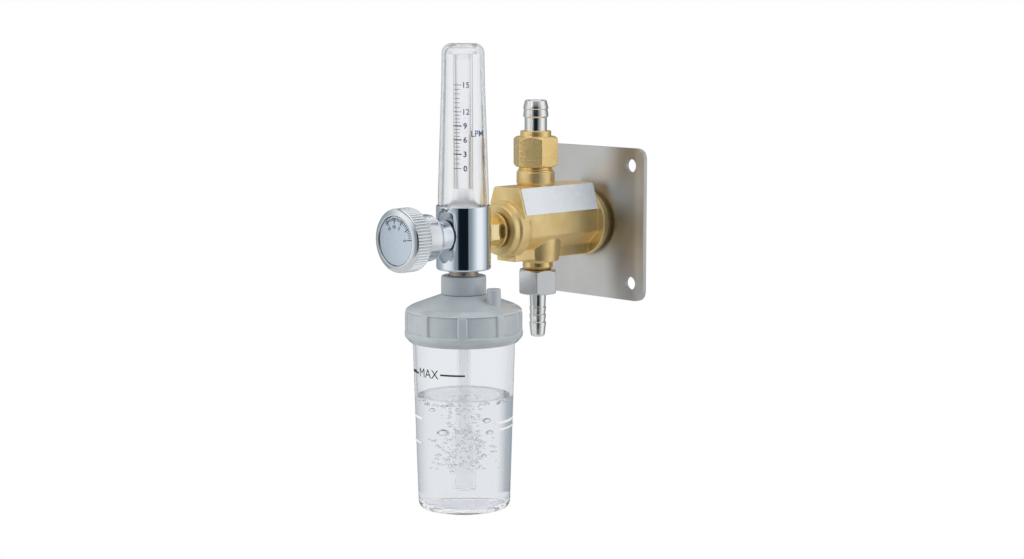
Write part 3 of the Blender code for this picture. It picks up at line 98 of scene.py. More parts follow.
def filled(points, spacing):
    """Straight runs of an outline longer than the spacing get even points between their ends."""
    out = [points[:1]]
    for a, b in zip(points[:-1], points[1:]):
        count = max(1, int(np.ceil(np.linalg.norm(b - a) / spacing)))
        out.append(a + (b - a) * np.linspace(0, 1, count + 1)[1:, None])
    return np.concatenate(out)


def placed(u, v, s, centre, axis):
    """Upright axis: u along X, v towards the wall, s up. Outward axis: u along X, v up, s from the wall."""
    if axis == "UP":
        return np.stack([centre[0] + u, v - centre[1], s + 0 * u], axis=-1)
    return np.stack([centre[0] + u, -s + 0 * u, centre[1] + v], axis=-1)


def polar(r, t, s, centre=FLOW_AXIS, axis="UP"):
    """The point at (r cos t, r sin t) across the axis and s along it."""
    return placed(r * np.cos(t), r * np.sin(t), s, centre, axis)


def grid(points, wrap_rows=False, wrap_columns=False, caps=False):
    """Cell (i, j) of the grid is the quad (i, j), (i, j+1), (i+1, j+1), (i+1, j)."""
    rows, columns = points.shape[:2]
    i, j = np.meshgrid(np.arange(rows - (not wrap_rows)), np.arange(columns - (not wrap_columns)), indexing="ij")
    below, beside = (i + 1) % rows, (j + 1) % columns
    quads = np.stack([i * columns + j, i * columns + beside, below * columns + beside, below * columns + j], axis=-1)
    faces = quads.reshape(-1, 4).tolist()
    if caps:
        faces += [list(range(columns))[::-1], list(range((rows - 1) * columns, rows * columns))]
    return points.reshape(-1, 3), faces


def joined(*shells):
    """Several shells as one list of points and faces."""
    points, faces, shift = [], [], 0
    for shell_points, shell_faces in shells:
        points.append(shell_points)
        faces += [[i + shift for i in face] for face in shell_faces]
        shift += len(shell_points)
    return np.concatenate(points), faces


def turned(profile, centre=FLOW_AXIS, axis="UP", steps=128, loop=False, relief=None):
    """Profile point (r, s) at angle t lies at (r cos t, r sin t) across the axis and s along it; relief changes r."""
    t = angles(steps)
    r, s = profile[:, :1] + 0 * t, profile[:, 1:2] + 0 * t
    if relief:
        r, s = relief(r, s, t)
    return grid(polar(r, t, s, centre, axis), wrap_rows=loop, wrap_columns=True)


def spun(corners, centre=FLOW_AXIS, axis="UP", steps=128):
    """An outline that starts and ends on the axis, turned round it."""
    return turned(outline(corners), centre, axis, steps)


def hollow(corners, centre=FLOW_AXIS, axis="UP", steps=128, arc=5, relief=None):
    """A closed outline turned round the axis, such as a sleeve or a ring."""
    return turned(outline(corners, closed=True, arc=arc), centre, axis, steps, loop=True, relief=relief)


def prism(section, start, end):
    """The closed section carried straight out from the wall, with flat ends."""
    u, v = np.asarray(section, dtype=float).T
    s = np.array([[start], [end]])
    return grid(placed(u + 0 * s, v + 0 * s, s, WALL_CENTRE, "OUT"), wrap_columns=True, caps=True)


def hexagon_nut(flats, start, end, centre, axis="UP", turn=0.0, bore=4.0, chamfer=0.5):
    """At angle t the flat lies at h = (flats / 2) / cos(t'); the chamfer cone meets it (h - face) * chamfer below."""
    local = np.linspace(-pi / 6, pi / 6, 9)[:-1]
    sector = np.arange(6)[:, None] * (pi / 3)
    t = (sector + local).ravel()[None, :] + turn
    h = np.tile(flats / 2 / np.cos(local), 6)[None, :]
    face = flats / 2 * 0.96
    drop = (h - face) * chamfer
    one = np.ones_like(h)
    r = np.concatenate([bore * one, face * one, h, h, face * one, bore * one])
    s = np.concatenate([start * one, start * one, start + drop, end - drop, end * one, end * one])
    return grid(polar(r, t, s, centre, axis), wrap_rows=True, wrap_columns=True)


def bar_on_tube(radius, turns, heights, proud=0.03):
    """A thin strip on a tube, between two turns from the viewer's side and two heights, proud of the radius."""
    t = np.linspace(*map(from_view, turns), 24)[:, None]
    z = np.array([heights[0], heights[1], heights[1], heights[0]])[None, :]
    r = radius(z) + np.array([-0.01, -0.01, proud, proud])[None, :]
    return grid(polar(r, t, z + 0 * t), wrap_columns=True, caps=True)


def lettering(words, height, width=None, depth=0.03, weight=0.0):
    """Outlines of the words, height millimetres tall, as points (along, up, out) and faces, lower left corner at 0."""
    curve = bpy.data.curves.new("words", "FONT")
    curve.body, curve.size, curve.extrude, curve.resolution_u, curve.offset = words, 10.0, 0.5, 5, weight
    writer = linked("words", curve)
    mesh = bpy.data.meshes.new_from_object(writer.evaluated_get(bpy.context.evaluated_depsgraph_get()))
    points = np.empty(len(mesh.vertices) * 3)
    mesh.vertices.foreach_get("co", points)
    faces = [list(face.vertices) for face in mesh.polygons]
    bpy.data.objects.remove(writer)
    bpy.data.curves.remove(curve)
    bpy.data.meshes.remove(mesh)
    points = points.reshape(-1, 3)
    low, high = points.min(axis=0), points.max(axis=0)
    size = high - low
    tall = height / size[1]
    points = (points - low) * (width / size[0] if width else tall, tall, depth / size[2])
    return points, faces


def on_tube(shape, radius, degrees, height):
    """Flat lettering bent round a tube: its length along becomes arc length at the tube's radius."""
    points, faces = shape
    z = points[:, 1] + height
    return polar(radius(z) + points[:, 2], from_view(degrees) + points[:, 0] / radius(z), z), faces


# Pieces
def linked(name, data):
    """A new object with its data, put in the scene."""
    thing = bpy.data.objects.new(name, data)
    bpy.context.collection.objects.link(thing)
    return thing


def welded(name, shape):
    """A mesh in metres, doubles merged and faces outward."""
    mesh = bpy.data.meshes.new(name)
    mesh.from_pydata((shape[0] * MM).tolist(), [], shape[1])
    tool = bmesh.new()
    tool.from_mesh(mesh)
    bmesh.ops.remove_doubles(tool, verts=tool.verts, dist=WELD)
    bmesh.ops.recalc_face_normals(tool, faces=tool.faces)
    tool.to_mesh(mesh)
    tool.free()
    return mesh


def soften(thing, width, segments, angle):
    """A bevel in millimetres on the edges sharper than the angle."""
    edge = thing.modifiers.new("edges", "BEVEL")
    edge.width, edge.segments, edge.limit_method = width * MM, segments, "ANGLE"
    edge.angle_limit, edge.harden_normals = radians(angle), True


def piece(name, body, shape, *materials, stands_for=(), sharp=SHARP, bevel=0.0):
    """One object at the origin, riding on its body, in place of the solids it stands for."""
    mesh = welded(name, shape)
    mesh.polygons.foreach_set("use_smooth", [True] * len(mesh.polygons))
    mesh.set_sharp_from_angle(angle=radians(sharp))
    for material in materials:
        mesh.materials.append(material)
    thing = linked(name, mesh)
    if bevel:
        soften(thing, bevel, 2, 28)
    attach(thing, body)
    if stands_for:
        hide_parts(*stands_for)
    return thing


def settled(thing, kind, **settings):
    """One modifier, made and applied, so that its result is the mesh."""
    change = thing.modifiers.new("change", kind)
    for key, value in settings.items():
        setattr(change, key, value)
    done = bpy.data.meshes.new_from_object(thing.evaluated_get(bpy.context.evaluated_depsgraph_get()))
    old = thing.data
    thing.modifiers.remove(change)
    thing.data = done
    bpy.data.meshes.remove(old)


def cut_with(thing, shape, edge):
    """The shape taken out of the piece, and the new edges softened."""
    cutter = linked("cutter", welded("cutter", shape))
    settled(thing, "BOOLEAN", operation="DIFFERENCE", solver="EXACT", object=cutter)
    bpy.data.objects.remove(cutter)
    thing.data.set_sharp_from_angle(angle=radians(SHARP))
    soften(thing, edge, 3, 35)


def per_face(thing, field):
    """The centre or the normal of each face, one row a face."""
    table = np.empty(len(thing.data.polygons) * 3)
    thing.data.polygons.foreach_get(field, table)
    return table.reshape(-1, 3)


def finish_faces(thing, numbers):
    """Each face gets the material of its number."""
    thing.data.polygons.foreach_set("material_index", numbers.astype(int).tolist())


# Node groups and materials
def node(tree, kind, feeds=None, **settings):
    """The outputs of a new node; feeds gives each named input a value or the socket that leads to it."""
    made = tree.nodes.new("ShaderNode" + kind)
    for key, value in settings.items():
        setattr(made, key, value)
    for key, value in (feeds or {}).items():
        if isinstance(value, bpy.types.NodeSocket):
            tree.links.new(value, made.inputs[key])
        else:
            made.inputs[key].default_value = value
    return made.outputs


def maths(tree, operation, first, second=0.0, clamp=False):
    """One sum on two values or sockets."""
    return node(tree, "Math", {0: first, 1: second}, operation=operation, use_clamp=clamp)[0]


def weighed(tree, first, share, second, other_share):
    """Two sockets, each times its share, added up."""
    return maths(tree, "ADD", maths(tree, "MULTIPLY", first, share), maths(tree, "MULTIPLY", second, other_share))


def stretched(tree, value, low, high, new_low=0.0, new_high=1.0):
    """The value's span from low to high carried onto a new span."""
    feeds = {"Value": value, "From Min": low, "From Max": high, "To Min": new_low, "To Max": new_high}
    return node(tree, "MapRange", feeds)[0]


def here(tree):
    """The place on the object, in metres."""
    return node(tree, "TexCoord")["Object"]


def new_group(name, inputs, outputs):
    """An empty shader group with named inputs and number outputs, and the sockets of both inside it."""
    group = bpy.data.node_groups.new(name, "ShaderNodeTree")
    for label, kind in inputs:
        group.interface.new_socket(name=label, in_out="INPUT", socket_type="NodeSocket" + kind)
    for label in outputs:
        group.interface.new_socket(name=label, in_out="OUTPUT", socket_type="NodeSocketFloat")
    return group, group.nodes.new("NodeGroupInput").outputs, group.nodes.new("NodeGroupOutput").inputs


def grain_group():
    """Grain: noise at the scale plus half of it at a finer scale; Tone is slow noise over centimetres."""
    group, given, result = new_group("surface_grain", [("Scale", "Float")], ["Height", "Tone"])
    place = here(group)
    coarse = node(group, "TexNoise", {"Vector": place, "Scale": given["Scale"], "Detail": 3.0})
    fine_scale = maths(group, "MULTIPLY", given["Scale"], 3.1)
    fine = node(group, "TexNoise", {"Vector": place, "Scale": fine_scale, "Detail": 2.0})
    slow = node(group, "TexNoise", {"Vector": place, "Scale": 90.0, "Detail": 4.0})
    group.links.new(weighed(group, coarse[0], 0.65, fine[0], 0.35), result["Height"])
    group.links.new(stretched(group, slow[0], 0.3, 0.7), result["Tone"])
    return group


def lines_group():
    """Brushed or turned lines: noise on a place stretched per axis, so that it is fine across the lines only."""
    group, given, result = new_group("tool_lines", [("Stretch", "Vector")], ["Height", "Tone"])
    place = here(group)
    across = node(group, "VectorMath", {0: place, 1: given["Stretch"]}, operation="MULTIPLY")[0]
    lines = node(group, "TexNoise", {"Vector": across, "Scale": 1.0, "Detail": 5.0, "Roughness": 0.65})
    wide = node(group, "TexNoise", {"Vector": place, "Scale": 55.0, "Detail": 3.0})
    group.links.new(lines[0], result["Height"])
    group.links.new(stretched(group, wide[0], 0.3, 0.7), result["Tone"])
    return group


def touch_group():
    """Handling marks: slow noise raised to soft patches, with a few fine scratches from stretched noise."""
    group, given, result = new_group("handling_marks", [("Scale", "Float")], ["Patch", "Scratch"])
    place = here(group)
    scale = given["Scale"]
    patch = node(group, "TexNoise", {"Vector": place, "Scale": scale, "Detail": 5.0, "Distortion": 0.6})
    tilted = node(group, "Mapping", {"Vector": place, "Rotation": (0.4, 0.7, 1.1), "Scale": (2600.0, 90.0, 420.0)})
    scratch = node(group, "TexNoise", {"Vector": tilted[0], "Scale": 1.0, "Detail": 1.0})
    group.links.new(stretched(group, patch[0], 0.42, 0.68), result["Patch"])
    group.links.new(stretched(group, scratch[0], 0.7, 0.78), result["Scratch"])
    return group


def wear_and_painted_light_group():
    """Edge wear and painted highlight where the surface is pointed, from Start to Full, broken by noise; the second
    output is the same for creases, as painted shade.
    """
    group, given, result = new_group("edge_wear_and_painted_light", [("Start", "Float"), ("Full", "Float")], ["Edge", "Painted_Crease_Shade"])
    point = node(group, "NewGeometry")["Pointiness"]
    patch = node(group, "TexNoise", {"Vector": here(group), "Scale": 700.0, "Detail": 3.0})
    start, full = given["Start"], given["Full"]
    edge = stretched(group, point, start, full)
    painted_crease_shade = stretched(group, maths(group, "SUBTRACT", 1.0, point), start, full)
    broken = stretched(group, patch[0], 0.3, 0.6, 0.5, 1.0)
    group.links.new(maths(group, "MULTIPLY", edge, broken), result["Edge"])
    group.links.new(painted_crease_shade, result["Painted_Crease_Shade"])
    return group


GRAIN, LINES, TOUCH, WEAR_AND_PAINTED_LIGHT = grain_group(), lines_group(), touch_group(), wear_and_painted_light_group()


def with_group(tree, group, feeds):
    """A shader group placed in a material with its own values, as its outputs."""
    made = tree.nodes.new("ShaderNodeGroup")
    made.node_tree = group
    for key, value in feeds.items():
        made.inputs[key].default_value = value
    return made.outputs


def material(name, base, roughness, metallic=0.0, **sockets):
    """A material with one Principled shader; other sockets are given by name with _ for a space."""
    made = bpy.data.materials.new(name)
    made.use_nodes = True
    tree = made.node_tree
    shader = tree.nodes["Principled BSDF"]
    shader.inputs["Base Color"].default_value = (*base, 1)
    shader.inputs["Roughness"].default_value = roughness
    shader.inputs["Metallic"].default_value = metallic
    for key, value in sockets.items():
        shader.inputs[key.replace("_", " ")].default_value = value
    return made, tree, shader


def blended(tree, share, first, second):
    """A mix of two colours or colour sockets by the share of the second."""
    return node(tree, "Mix", {0: share, 6: first, 7: second}, data_type="RGBA")[2]


def tinted(tree, shader, mask, low, high):
    """Base colour runs from low to high with the mask."""
    tree.links.new(blended(tree, mask, (*low, 1), (*high, 1)), shader.inputs["Base Color"])


def roughened(tree, shader, mask, low, high):
    """Roughness runs from low to high with the mask."""
    tree.links.new(stretched(tree, mask, 0.0, 1.0, low, high), shader.inputs["Roughness"])


def bumped(tree, shader, height, depth):
    """The height, 0 to 1, stands for a relief of depth millimetres."""
    relief = node(tree, "Bump", {"Height": height, "Distance": depth * MM, "Strength": 1.0})
    tree.links.new(relief[0], shader.inputs["Normal"])


def edged(tree, tone, wear_and_painted_light, reach=0.1):
    """The tone lifted where the surface is pointed, partly as wear and partly as painted highlight, and lowered in its
    creases as painted shade.
    """
    edge = with_group(tree, WEAR_AND_PAINTED_LIGHT, {"Start": 0.5 + reach / 5, "Full": 0.5 + reach})
    tone = maths(tree, "ADD", tone, maths(tree, "MULTIPLY", edge["Edge"], wear_and_painted_light))
    # Painted shade: the tone is lowered in the creases.
    return maths(tree, "SUBTRACT", tone, maths(tree, "MULTIPLY", edge["Painted_Crease_Shade"], wear_and_painted_light), clamp=True)


def grained(name, low, high, roughness, scale, depth, metallic=0.0, wear_and_painted_light=0.0, reach=0.1, mottle=1.0, **sockets):
    """A finish with an even grain: cast metal, moulded plastic, rubber or ink; the wear share lightens its edges,
    partly as wear and partly as painted highlight, and darkens its creases as painted shade.
    """
    made, tree, shader = material(name, high, roughness[1], metallic, **sockets)
    grain = with_group(tree, GRAIN, {"Scale": scale})
    touch = with_group(tree, TOUCH, {"Scale": 120.0})
    tone = weighed(tree, grain["Tone"], 0.5, grain["Height"], 0.5)
    tone = stretched(tree, tone, 0.0, 1.0, 0.5 - mottle / 2, 0.5 + mottle / 2)
    # Edges lifted as wear and painted highlight, creases darkened as painted shade.
    if wear_and_painted_light:
        tone = edged(tree, tone, wear_and_painted_light, reach)
    tinted(tree, shader, tone, low, high)
    roughened(tree, shader, touch["Patch"], *roughness)
    bumped(tree, shader, grain["Height"], depth)
    return made


def lined(name, low, high, roughness, stretch, depth, metallic=1.0, marks=1.0, wear_and_painted_light=0.0, **sockets):
    """A metal finish with brushed or turned lines; marks is the share of handling marks; the wear share lightens edges,
    partly as wear and partly as painted highlight, and darkens creases as painted shade.
    """
    made, tree, shader = material(name, high, roughness[1], metallic, **sockets)
    lines = with_group(tree, LINES, {"Stretch": stretch})
    touch = with_group(tree, TOUCH, {"Scale": 160.0})
    tone = weighed(tree, lines["Height"], 0.6, lines["Tone"], 0.4)
    # Painted highlight on edges and painted shade in creases, besides edge wear.
    if wear_and_painted_light:
        tone = edged(tree, maths(tree, "ADD", maths(tree, "MULTIPLY", tone, 0.2), 0.82), wear_and_painted_light)
    tinted(tree, shader, tone, low, high)
    worn = maths(tree, "ADD", touch["Patch"], maths(tree, "MULTIPLY", touch["Scratch"], 0.5), clamp=True)
    roughened(tree, shader, maths(tree, "MULTIPLY", worn, marks), *roughness)
    bumped(tree, shader, lines["Height"], depth)
    return made


def clear(name, base, ior, marks=0.02, painted_dark_rim=None, open_share=0.0):
    """Clear plastic or water; shadow rays, and the open share of all others, pass straight through; a rim colour
    darkens the side-on edges as a painted shade outline.
    """
    made, tree, shader = material(name, base, 0.0, 0.0, Transmission_Weight=1.0, IOR=ior)
    # Painted shade: the edges seen side-on are tinted dark.
    if painted_dark_rim:
        side = node(tree, "LayerWeight", {"Blend": 0.5})["Facing"]
        tinted(tree, shader, stretched(tree, side, 0.25, 0.9), base, painted_dark_rim)
    touch = with_group(tree, TOUCH, {"Scale": 60.0})
    roughened(tree, shader, touch["Patch"], 0.0, marks)
    through = node(tree, "BsdfTransparent", {"Color": (*base, 1)})
    share = maths(tree, "MAXIMUM", node(tree, "LightPath")["Is Shadow Ray"], open_share)
    mix = node(tree, "MixShader", {0: share, 1: shader.outputs[0], 2: through[0]})
    tree.links.new(mix[0], tree.nodes["Material Output"].inputs["Surface"])
    return made


def open_water():
    """The water's side only lets light by, because the jar's wet wall bends it there."""
    made = bpy.data.materials.new("water_side")
    made.use_nodes = True
    tree = made.node_tree
    through = node(tree, "BsdfTransparent", {"Color": (1, 1, 1, 1)})
    tree.links.new(through[0], tree.nodes["Material Output"].inputs["Surface"])
    return made


# Its wear share lifts the casting's edges, partly as wear and partly as painted highlight, and darkens its fillets and
# creases as painted shade.
CAST_BRASS = grained("cast_brass", (0.76, 0.52, 0.19), (1.0, 0.8, 0.42), (0.33, 0.4), 1300.0, 0.1, 0.84,
                     wear_and_painted_light=0.6, reach=0.06)
NUT_BRASS = lined("machined_brass", (0.9, 0.62, 0.24), (1.0, 0.74, 0.33), (0.24, 0.33), (500.0, 500.0, 5200.0),
                  0.006, 0.86)
BRIGHT_BRASS = lined("bright_brass", (0.96, 0.74, 0.38), (1.0, 0.85, 0.52), (0.08, 0.14), (700.0, 5200.0, 700.0), 0.003)
STUB_METAL = lined("stub_metal", (0.62, 0.52, 0.42), (0.84, 0.75, 0.66), (0.16, 0.24), (700.0, 700.0, 4200.0), 0.003)
BRUSHED_STEEL = lined("brushed_steel", (0.6, 0.585, 0.56), (0.71, 0.695, 0.675), (0.34, 0.4),
                      (45.0, 45.0, 2600.0), 0.012, marks=0.4, Anisotropic=0.9)
TAIL_STEEL = lined("turned_steel", (0.84, 0.82, 0.79), (1.0, 0.985, 0.95), (0.14, 0.2), (60.0, 60.0, 5600.0), 0.004)
PLATED_NUT = lined("plated_nut", (0.66, 0.66, 0.665), (0.76, 0.765, 0.77), (0.14, 0.2), (700.0, 700.0, 3800.0),
                   0.003, 0.95)
CHROME = lined("chrome_plate", (0.86, 0.92, 0.98), (0.92, 0.96, 1.0), (0.02, 0.05), (200.0, 200.0, 200.0), 0.0004)
# The dark low colour shows only in the knurl's grooves, as painted shade; the ridges are lifted as wear and painted
# highlight.
KNOB_CHROME = lined("knob_plate", (0.14, 0.16, 0.18), (0.96, 0.98, 1.0), (0.06, 0.11), (300.0, 2600.0, 300.0),
                    0.0015, wear_and_painted_light=1.0)
MILLED_FACE = lined("milled_face", (0.4, 0.44, 0.48), (0.5, 0.54, 0.58), (0.22, 0.3), (300.0, 300.0, 3200.0), 0.002)
DIAL_METAL = lined("dial_metal", (0.59, 0.68, 0.77), (0.64, 0.72, 0.81), (0.26, 0.3), (900.0, 60.0, 900.0),
                   0.0006, 0.8)
# Its wide colour range with the wear share paints highlight lines on the rib edges and shade in the panel steps.
CAP_PLASTIC = grained("cap_plastic", (0.24, 0.285, 0.315), (0.66, 0.715, 0.75), (0.06, 0.1), 2600.0, 0.004,
                      wear_and_painted_light=0.5, mottle=0.3, IOR=1.75)
NUT_PLASTIC = grained("nut_plastic", (0.4, 0.45, 0.485), (0.44, 0.495, 0.53), (0.12, 0.18), 2600.0, 0.005, IOR=1.65)
MILKY = grained("milky_plastic", (0.97, 0.972, 0.978), (1.0, 1.0, 1.0), (0.14, 0.22), 2200.0, 0.002,
                Transmission_Weight=0.88, IOR=1.05)
MOULDED_WHITE = grained("moulded_white", (0.9, 0.91, 0.93), (0.97, 0.97, 0.98), (0.2, 0.3), 2200.0, 0.004)
FROSTED = grained("frosted_plastic", (0.95, 0.955, 0.965), (0.99, 0.99, 0.995), (0.34, 0.44), 2600.0, 0.004,
                  Transmission_Weight=0.75, IOR=1.08)
RUBBER = grained("black_rubber", (0.015, 0.015, 0.016), (0.03, 0.03, 0.032), (0.5, 0.65), 2400.0, 0.02)
GASKET = grained("seal_rubber", (0.4, 0.42, 0.44), (0.5, 0.52, 0.54), (0.5, 0.6), 2400.0, 0.02)
LABEL_FACE = grained("label_face", (0.74, 0.79, 0.84), (0.8, 0.85, 0.9), (0.25, 0.35), 900.0, 0.004)
INK_DARK, INK_VIOLET, INK_BLUE, INK_BLACK = [
    grained(name, low, high, (0.4, 0.6), 3000.0, 0.004) for name, low, high in (
        ("dark_ink", (0.03, 0.033, 0.05), (0.06, 0.065, 0.09)),
        ("violet_ink", (0.008, 0.006, 0.09), (0.02, 0.014, 0.16)),
        ("blue_ink", (0.012, 0.06, 0.2), (0.03, 0.11, 0.3)),
        ("black_ink", (0.004, 0.004, 0.005), (0.012, 0.012, 0.014)))]
CLEAR_COVER = clear("clear_cover", (0.982, 0.982, 0.987), 1.26, open_share=0.12)
CLEAR_TUBE = clear("clear_tube", (0.982, 0.982, 0.987), 1.3)
CLEAR_JAR = clear("clear_jar", (0.945, 0.952, 0.97), 1.28)
WET_WALL = clear("wet_wall", (0.9, 0.908, 0.926), 1.05)
JAR_BASE = grained("jar_base", (0.97, 0.975, 0.985), (1.0, 1.0, 1.0), (0.03, 0.08), 2200.0, 0.002,
                   Transmission_Weight=0.84, IOR=1.1)
# The water top's grey-blue tint is painted shade for the surface's dark reflection.
WATER = clear("water", (0.66, 0.69, 0.745), 1.16, marks=0.0)
# The milky ring at the water's edge is partly froth and partly a painted highlight along the meniscus.
WATER_EDGE = grained("water_edge", (0.88, 0.9, 0.94), (1.0, 1.0, 1.0), (0.06, 0.12), 900.0, 0.02,
                     Transmission_Weight=0.35, IOR=1.05)
# The bubbles' dark outlines are painted shade, standing for what refraction gives at their edges.
BUBBLE = clear("bubble_skin", (1.0, 1.0, 1.0), 0.75, marks=0.0, painted_dark_rim=(0.16, 0.18, 0.22))
WATER_SIDE = open_water()


def brush_plate_and_paint_shade():
    """The plate's gloss is drawn out across its brushing, and a darker band of painted shade, standing for the dark
    reflection beside the casting, runs down beside its right edge.
    """
    tree = BRUSHED_STEEL.node_tree
    sockets = tree.nodes["Principled BSDF"].inputs
    along = node(tree, "Tangent", direction_type="UV_MAP", uv_map="brushing")[0]
    tree.links.new(along, sockets["Tangent"])
    side_way = node(tree, "SeparateXYZ", {0: here(tree)})[0]
    # Painted shade: a darker band 14 to 42 mm right of the middle, for the dark reflection beside the casting.
    band = maths(tree, "MULTIPLY", stretched(tree, side_way, 0.014, 0.027), stretched(tree, side_way, 0.042, 0.038))
    brushed, share = sockets["Base Color"].links[0].from_socket, maths(tree, "MULTIPLY", band, 0.6)
    tree.links.new(blended(tree, share, brushed, (0.38, 0.365, 0.345, 1)), sockets["Base Color"])


# Wall bracket
PLATE_CORNER, PLATE_HOLE, PLATE_PITCH = 6.8 * 1.1, 4.2, 36.3


def wall_plate():
    """A square with round corners, made thick, four round holes, and a countersink behind each flange screw.

    Its UV map has u along Z, across the brushing.
    """
    low, high = span("wall_plate")
    half, thick = (high[0] - low[0]) / 2, -low[1]
    square = ((-half, -half), (half, -half), (half, half), (-half, half))
    edge = outline([(x, z, PLATE_CORNER) for x, z in square], closed=True, arc=12)
    thing = piece("plate_sheet", "base", prism(edge, 0.0, thick), BRUSHED_STEEL, stands_for=("wall_plate",))
    hole = [(0, -2), (PLATE_HOLE, -2), (PLATE_HOLE, thick + 2), (0, thick + 2)]
    sink = [(0, -2), (2.85, -2), (2.85, 0.2), (1.55, 1.7), (1.55, thick + 2), (0, thick + 2)]
    drill = [spun(hole, (x, z), "OUT", 48)
             for x in (-PLATE_PITCH, PLATE_PITCH) for z in (-PLATE_PITCH, PLATE_PITCH)]
    for screw in SCREWS:
        near, far = span(screw)
        drill.append(spun(sink, ((near[0] + far[0]) / 2, (near[2] + far[2]) / 2), "OUT", 32))
    cut_with(thing, joined(*drill), 0.5)
    mesh = thing.data
    corners, spots = np.empty(len(mesh.loops), dtype=int), np.empty(len(mesh.vertices) * 3)
    mesh.loops.foreach_get("vertex_index", corners)
    mesh.vertices.foreach_get("co", spots)
    flat = spots.reshape(-1, 3)[corners][:, [2, 0]].ravel() / 0.1
    mesh.uv_layers.new(name="brushing").data.foreach_set("uv", flat)


# Cast valve body
BODY_START, BODY_END = 9.9, 74.4
BODY_SIDE = [(10.4, 25.2), (15.8, 8.4), (15.8, -4.9), (7.8, -12.6), (7.8, -19.4)]
INLET_AXIS, OUTLET_AXIS = (0, 49.0), (0, 47.0)


def cast_body():
    """Octagon bar, flange, front boss and two port bosses, fused on a voxel grid and smoothed to casting fillets."""
    half = [(x, z, 0.8) for x, z in BODY_SIDE]
    section = outline(half + [(-x, z, cut) for x, z, cut in half[::-1]], closed=True, arc=4)
    flange = [(0, 3.4), (17, 3.4), (17, 5.7), (21.2, 5.9, .6), (21.2, 9.9, .8), (0, 9.9)]
    front = [(0, 70), (17, 70), (17, 77.2, .6), (15.6, 77.8, .3), (15.1, 81.9, .5), (0, 81.9)]
    shells = [
        prism(section, BODY_START - 1, BODY_END),
        spun(flange, WALL_CENTRE, "OUT"),
        spun(front, WALL_CENTRE, "OUT"),
        spun([(0, 24.0), (9.6, 24.0), (11.7, 26.6), (11.7, 33.8, .8), (0, 33.8)], INLET_AXIS),
        spun([(0, 0), (14.4, 0), (13.0, -21.2, .8), (0, -21.2)], OUTLET_AXIS),
    ]
    thing = piece("cast_body", "base", joined(*shells), CAST_BRASS, stands_for=("valve_body",), sharp=180)
    settled(thing, "REMESH", mode="VOXEL", voxel_size=0.42 * MM, use_smooth_shade=True)
    settled(thing, "SMOOTH", factor=0.5, iterations=2)
    thing.data.materials.clear()
    thing.data.materials.append(CAST_BRASS)
    top = [(9.0, 33), (10.9, 33), (10.9, 34.6, .2), (10.2, 35.0, .2), (10.2, 36.1), (9.0, 36.1)]
    piece("inlet_neck", "base", hollow(top, INLET_AXIS), NUT_BRASS)
    low = [(5.5, -20.6), (9.9, -20.6), (9.2, -22.0, .3), (9.4, -24.6, .3), (8.6, -26.1, .3), (5.5, -26.1)]
    piece("outlet_neck", "base", hollow(low, OUTLET_AXIS), NUT_BRASS)


def label_plate():
    """A thin blank plate on the upper facet, a flat grid between the facet's two long edges."""
    upper, lower = np.array(BODY_SIDE[0]), np.array(BODY_SIDE[1])
    along = (lower - upper) / np.linalg.norm(lower - upper)
    out = np.array([-along[1], along[0]])
    edge = outline([(9.5, 0.4, .6), (72.6, 0.4, .6), (72.6, 17.0, .6), (9.5, 17.0, .6)], closed=True)
    base = upper + along * edge[:, 1:2]
    shape = np.stack([np.stack([base[:, 0] + out[0] * d, -edge[:, 0], base[:, 1] + out[1] * d], -1)
                      for d in (-0.3, 0.4)])
    piece("label_plate", "base", grid(shape, wrap_columns=True, caps=True), LABEL_FACE, bevel=0.12)


# Hose tails and nuts
def inlet_parts():
    """Union nut as a chamfered hexagon with a turned collar, and the barbed tail that it holds."""
    nut = hexagon_nut(24.3, 36.4, 54.9, INLET_AXIS, bore=7.2, chamfer=0.65)
    piece("inlet_union_nut", "base", nut, NUT_BRASS, stands_for=("inlet_nut",), bevel=0.3)
    collar = [(6.95, 53.5), (9.9, 53.5), (9.4, 55.6, .5), (9.4, 58.3, .7), (6.95, 58.3, .2)]
    piece("inlet_nut_collar", "base", hollow(collar, INLET_AXIS), NUT_BRASS)
    barbs = [(4.2, 37), (6.8, 37), (6.8, 66.3, .2), (7.65, 66.9, .3), (7.6, 68.4, .8), (7.2, 71.0, .15),
             (7.2, 71.2, .1), (7.65, 71.7, .3), (7.5, 72.8, .9), (6.6, 76.4, .5), (6.0, 76.9, .3), (4.2, 76.9, .3)]
    piece("inlet_barb", "base", hollow(barbs, INLET_AXIS), TAIL_STEEL, stands_for=("inlet_hose_tail",))


def outlet_parts():
    """Lower nut and the small barbed tail under it."""
    nut = hexagon_nut(22.2, -41.5, -26.4, OUTLET_AXIS, turn=radians(-78), bore=5.2, chamfer=0.7)
    piece("outlet_union_nut", "base", nut, PLATED_NUT, stands_for=("outlet_nut",), bevel=0.3)
    barbs = [(2.2, -30), (5.0, -30), (5.0, -43.0), (4.75, -49.4, .2)]
    for top in (-50.0, -54.6):
        barbs += [(5.15, top, .25), (5.05, top - 0.8, .25), (4.55, top - 4.2, .2)]
    barbs += [(5.15, -59.4, .3), (5.05, -60.4, .3), (4.3, -67.4, .7), (3.4, -68.2, .4), (2.2, -68.2, .3)]
    piece("outlet_barb", "base", hollow(barbs, OUTLET_AXIS), TAIL_STEEL, stands_for=("outlet_hose_tail",))


